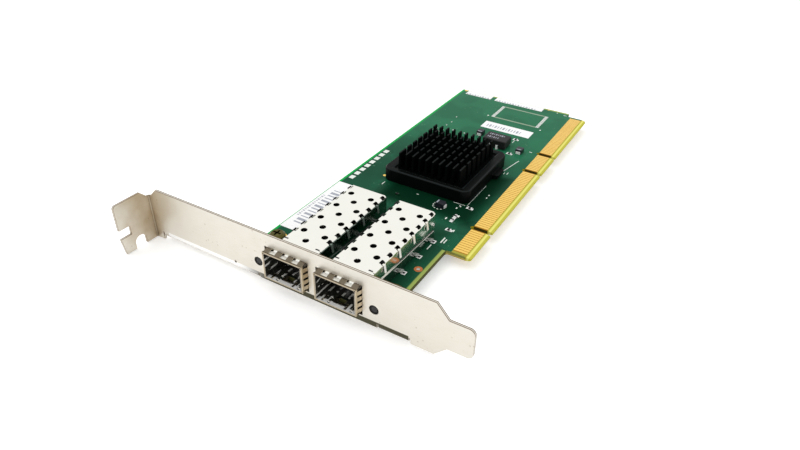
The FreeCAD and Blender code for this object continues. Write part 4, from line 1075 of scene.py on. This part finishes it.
# Outlines and marks in white print: start, end and width of each stroke
PRINT_STROKES = (
    ((44.2, 65.9), (48.9, 65.9), 0.2),
    ((49.6, 66.0), (49.6, 83.3), 0.14),
    ((47.0, 62.4), (47.0, 63.2), 0.5),
    ((47.2, 64.9), (48.0, 64.3), 0.4),
    ((13.9, 68.0), (17.9, 67.6), 0.35),
    ((15.2, 62.6), (15.2, 64.9), 0.3),
    ((50.6, 97.4), (52.7, 108.8), 0.3),
    ((52.8, 95.7), (52.8, 97.4), 0.3),
    ((51.6, 95.2), (51.6, 96.6), 0.3),
    ((53.4, 74.6), (53.4, 75.4), 0.4),
    ((53.4, 76.8), (53.4, 77.6), 0.4),
    ((44.1, 122.7), (44.1, 125.6), 0.25),
    ((53.4, 118.8), (54.6, 118.8), 0.4),
    ((53.6, 162.9), (55.0, 162.9), 0.4),
    ((50.1, 57.6), (50.1, 58.8), 0.5),
    ((46.8, 54.2), (46.8, 55.4), 0.5),
    ((52.6, 48.6), (52.6, 49.8), 0.5),
    ((52.0, 40.6), (52.0, 44.0), 0.5),
    ((53.0, 40.9), (53.0, 43.4), 0.4),
    ((49.9, 35.0), (49.9, 38.0), 0.4),
    ((30.0, 63.6), (30.8, 63.6), 0.35),
)

# Dashed circle round a capacitor, dots beside the footprint, and the row of blocks along the upper edge
CAPACITOR_CIRCLE = (41.0, 61.0)
CAPACITOR_CIRCLE_RING = (2.3, 2.65)
PIN_ONE_DOTS = ((23.6, 143.4), (49.9, 141.4))
PIN_ONE_RADIUS = 0.4
EDGE_BAR_COUNT = 8
EDGE_BAR_START = 60.0
EDGE_BAR_PITCH = 3.6
EDGE_BAR_LENGTH = 2.4
EDGE_BAR_INSET = 2.6
EDGE_BAR_WIDTH = 2.0


def board_print():
    """White outlines, marks and a plain row of blocks along the upper edge."""
    strokes = [bar(*stroke) for stroke in PRINT_STROKES]
    strokes += ring(*CAPACITOR_CIRCLE, *CAPACITOR_CIRCLE_RING, dashed=True)
    strokes += [disc(*place, PIN_ONE_RADIUS) for place in PIN_ONE_DOTS]
    for number in range(EDGE_BAR_COUNT):
        start = EDGE_BAR_START + EDGE_BAR_PITCH * number
        end = start + EDGE_BAR_LENGTH
        strokes.append(bar((EDGE_BAR_INSET, start), (EDGE_BAR_INSET, end), EDGE_BAR_WIDTH))
    layer("board_print", strokes, "white_print", board_high.z, PRINT_THICKNESS)


# Widths of the bars on labels and packages, as shares of their pitch
BAR_SHARES = (0.35, 0.65, 0.25, 0.55, 0.3)

# Rows of bars: span along the row and field across it as shares of the node's sides, and pitch in millimetres
BARCODE_ROWS = (((0.13, 0.87), (0.18, 0.5), 2.0), ((0.24, 0.73), (0.055, 0.12), 1.1))
SERIAL_ROWS = (((0.1, 0.86), (0.25, 0.62), 1.3),)
END_ROWS = (((0.02, 0.34), (0.05, 0.3), 1.4), ((0.42, 0.98), (0.05, 0.3), 1.4))
OSCILLATOR_ROWS = (((0.15, 0.85), (0.62, 0.8), 0.9), ((0.15, 0.7), (0.25, 0.42), 0.9))


def printed_rows(node, along, rows):
    """Rows of grey bars on top of a flat node, as one piece. Along is the axis of the rows, 0 or 1."""
    low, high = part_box(node)
    origin = Vector((board_low.x, board_low.y, 0.0))
    near = (low - origin) / MM
    sizes = (high - origin) / MM - near
    across = 1 - along
    bars = []
    for span, field, pitch in rows:
        for number in range(int(sizes[along] * (span[1] - span[0]) / pitch)):
            ends = [[0.0, 0.0], [0.0, 0.0]]
            for point, share in zip(ends, field):
                point[along] = near[along] + sizes[along] * span[0] + pitch * number
                point[across] = near[across] + sizes[across] * share
            bars.append(bar(*ends, pitch * BAR_SHARES[number % len(BAR_SHARES)]))
    layer(f"{node}_print", bars, "grey_print", high.z, PRINT_THICKNESS)


# World and lamp: strength of the soft light, then place and size of the lamp in metres and its watts
WORLD_LEVEL = 0.82
WHITE = (1.0, 1.0, 1.0)
LAMP_PLACE = (-0.8, -0.1, 1.3)
LAMP_SIZE = 1.5
LAMP_POWER = 9.0


def world_light():
    """Even soft light; white for the camera, for reflections and through clear pieces."""
    world = bpy.data.worlds.new("studio")
    bpy.context.scene.world = world
    world.use_nodes = True
    nodes, links = world.node_tree.nodes, world.node_tree.links
    soft = nodes["Background"]
    soft.inputs["Color"].default_value = (*WHITE, 1.0)
    soft.inputs["Strength"].default_value = WORLD_LEVEL
    white = nodes.new("ShaderNodeBackground")
    white.inputs["Color"].default_value = (*WHITE, 1.0)
    path = nodes.new("ShaderNodeLightPath")
    seen = path.outputs["Is Camera Ray"]
    for kind in ("Is Glossy Ray", "Is Transmission Ray"):
        either = nodes.new("ShaderNodeMath")
        either.operation = "MAXIMUM"
        links.new(seen, either.inputs[0])
        links.new(path.outputs[kind], either.inputs[1])
        seen = either.outputs[0]
    choice = nodes.new("ShaderNodeMixShader")
    links.new(seen, choice.inputs["Fac"])
    links.new(soft.outputs[0], choice.inputs[1])
    links.new(white.outputs[0], choice.inputs[2])
    links.new(choice.outputs[0], nodes["World Output"].inputs["Surface"])


# Floor: its side in metres, a drop that keeps it clear of the part, colour, roughness and glow
FLOOR_SIZE = 6.0
FLOOR_DROP = 0.2 * MM
FLOOR_COLOUR = (0.84, 0.84, 0.83)
FLOOR_ROUGHNESS = 0.9
FLOOR_GLOW = 0.4


def floor():
    """White floor that keeps the shadow and reads as white to the camera and in reflections."""
    bpy.ops.mesh.primitive_plane_add(size=FLOOR_SIZE, location=(0.0, 0.0, -FLOOR_DROP))
    plane = bpy.context.object
    plane.name = "floor"
    shader = Shader("floor_white")
    shader.set(Base_Color=FLOOR_COLOUR, Roughness=FLOOR_ROUGHNESS, Specular_IOR_Level=0.0)
    path = shader.tree.nodes.new("ShaderNodeLightPath")
    seen = shader.most(path.outputs["Is Camera Ray"], path.outputs["Is Glossy Ray"])
    seen = shader.most(seen, path.outputs["Is Transmission Ray"])
    shader.set(Emission_Color=WHITE, Emission_Strength=shader.times(seen, FLOOR_GLOW))
    plane.data.materials.append(shader.material)


def window():
    """Square area light that faces the object and stays out of reflections."""
    light = bpy.data.lights.new("window", "AREA")
    light.size = LAMP_SIZE
    light.energy = LAMP_POWER
    lamp = bpy.data.objects.new("window", light)
    lamp.location = LAMP_PLACE
    lamp.rotation_euler = (-Vector(LAMP_PLACE)).to_track_quat("-Z", "Y").to_euler()
    lamp.visible_glossy = False
    bpy.context.scene.collection.objects.link(lamp)


def camera():
    """Camera at the photograph's viewing angle."""
    data = bpy.data.cameras.new("camera")
    data.sensor_width = CAMERA_SENSOR
    data.lens = CAMERA_LENS
    data.clip_start = CAMERA_CLIP
    viewer = bpy.data.objects.new("camera", data)
    viewer.location = CAMERA_PLACE
    viewer.rotation_euler = [math.radians(angle) for angle in CAMERA_TURN]
    bpy.context.scene.collection.objects.link(viewer)
    bpy.context.scene.camera = viewer


dress_nodes()
memory_footprint()
plated_places()
solder_lands()
roof_shadows()
capacitor_bands()
board_print()
printed_rows("barcode_label", 1, BARCODE_ROWS)
printed_rows("serial_label", 0, SERIAL_ROWS)
printed_rows("board_end_labels", 0, END_ROWS)
printed_rows("oscillator_body", 0, OSCILLATOR_ROWS)
world_light()
floor()
window()
camera()
bpy.context.scene.view_settings.view_transform = "Standard"
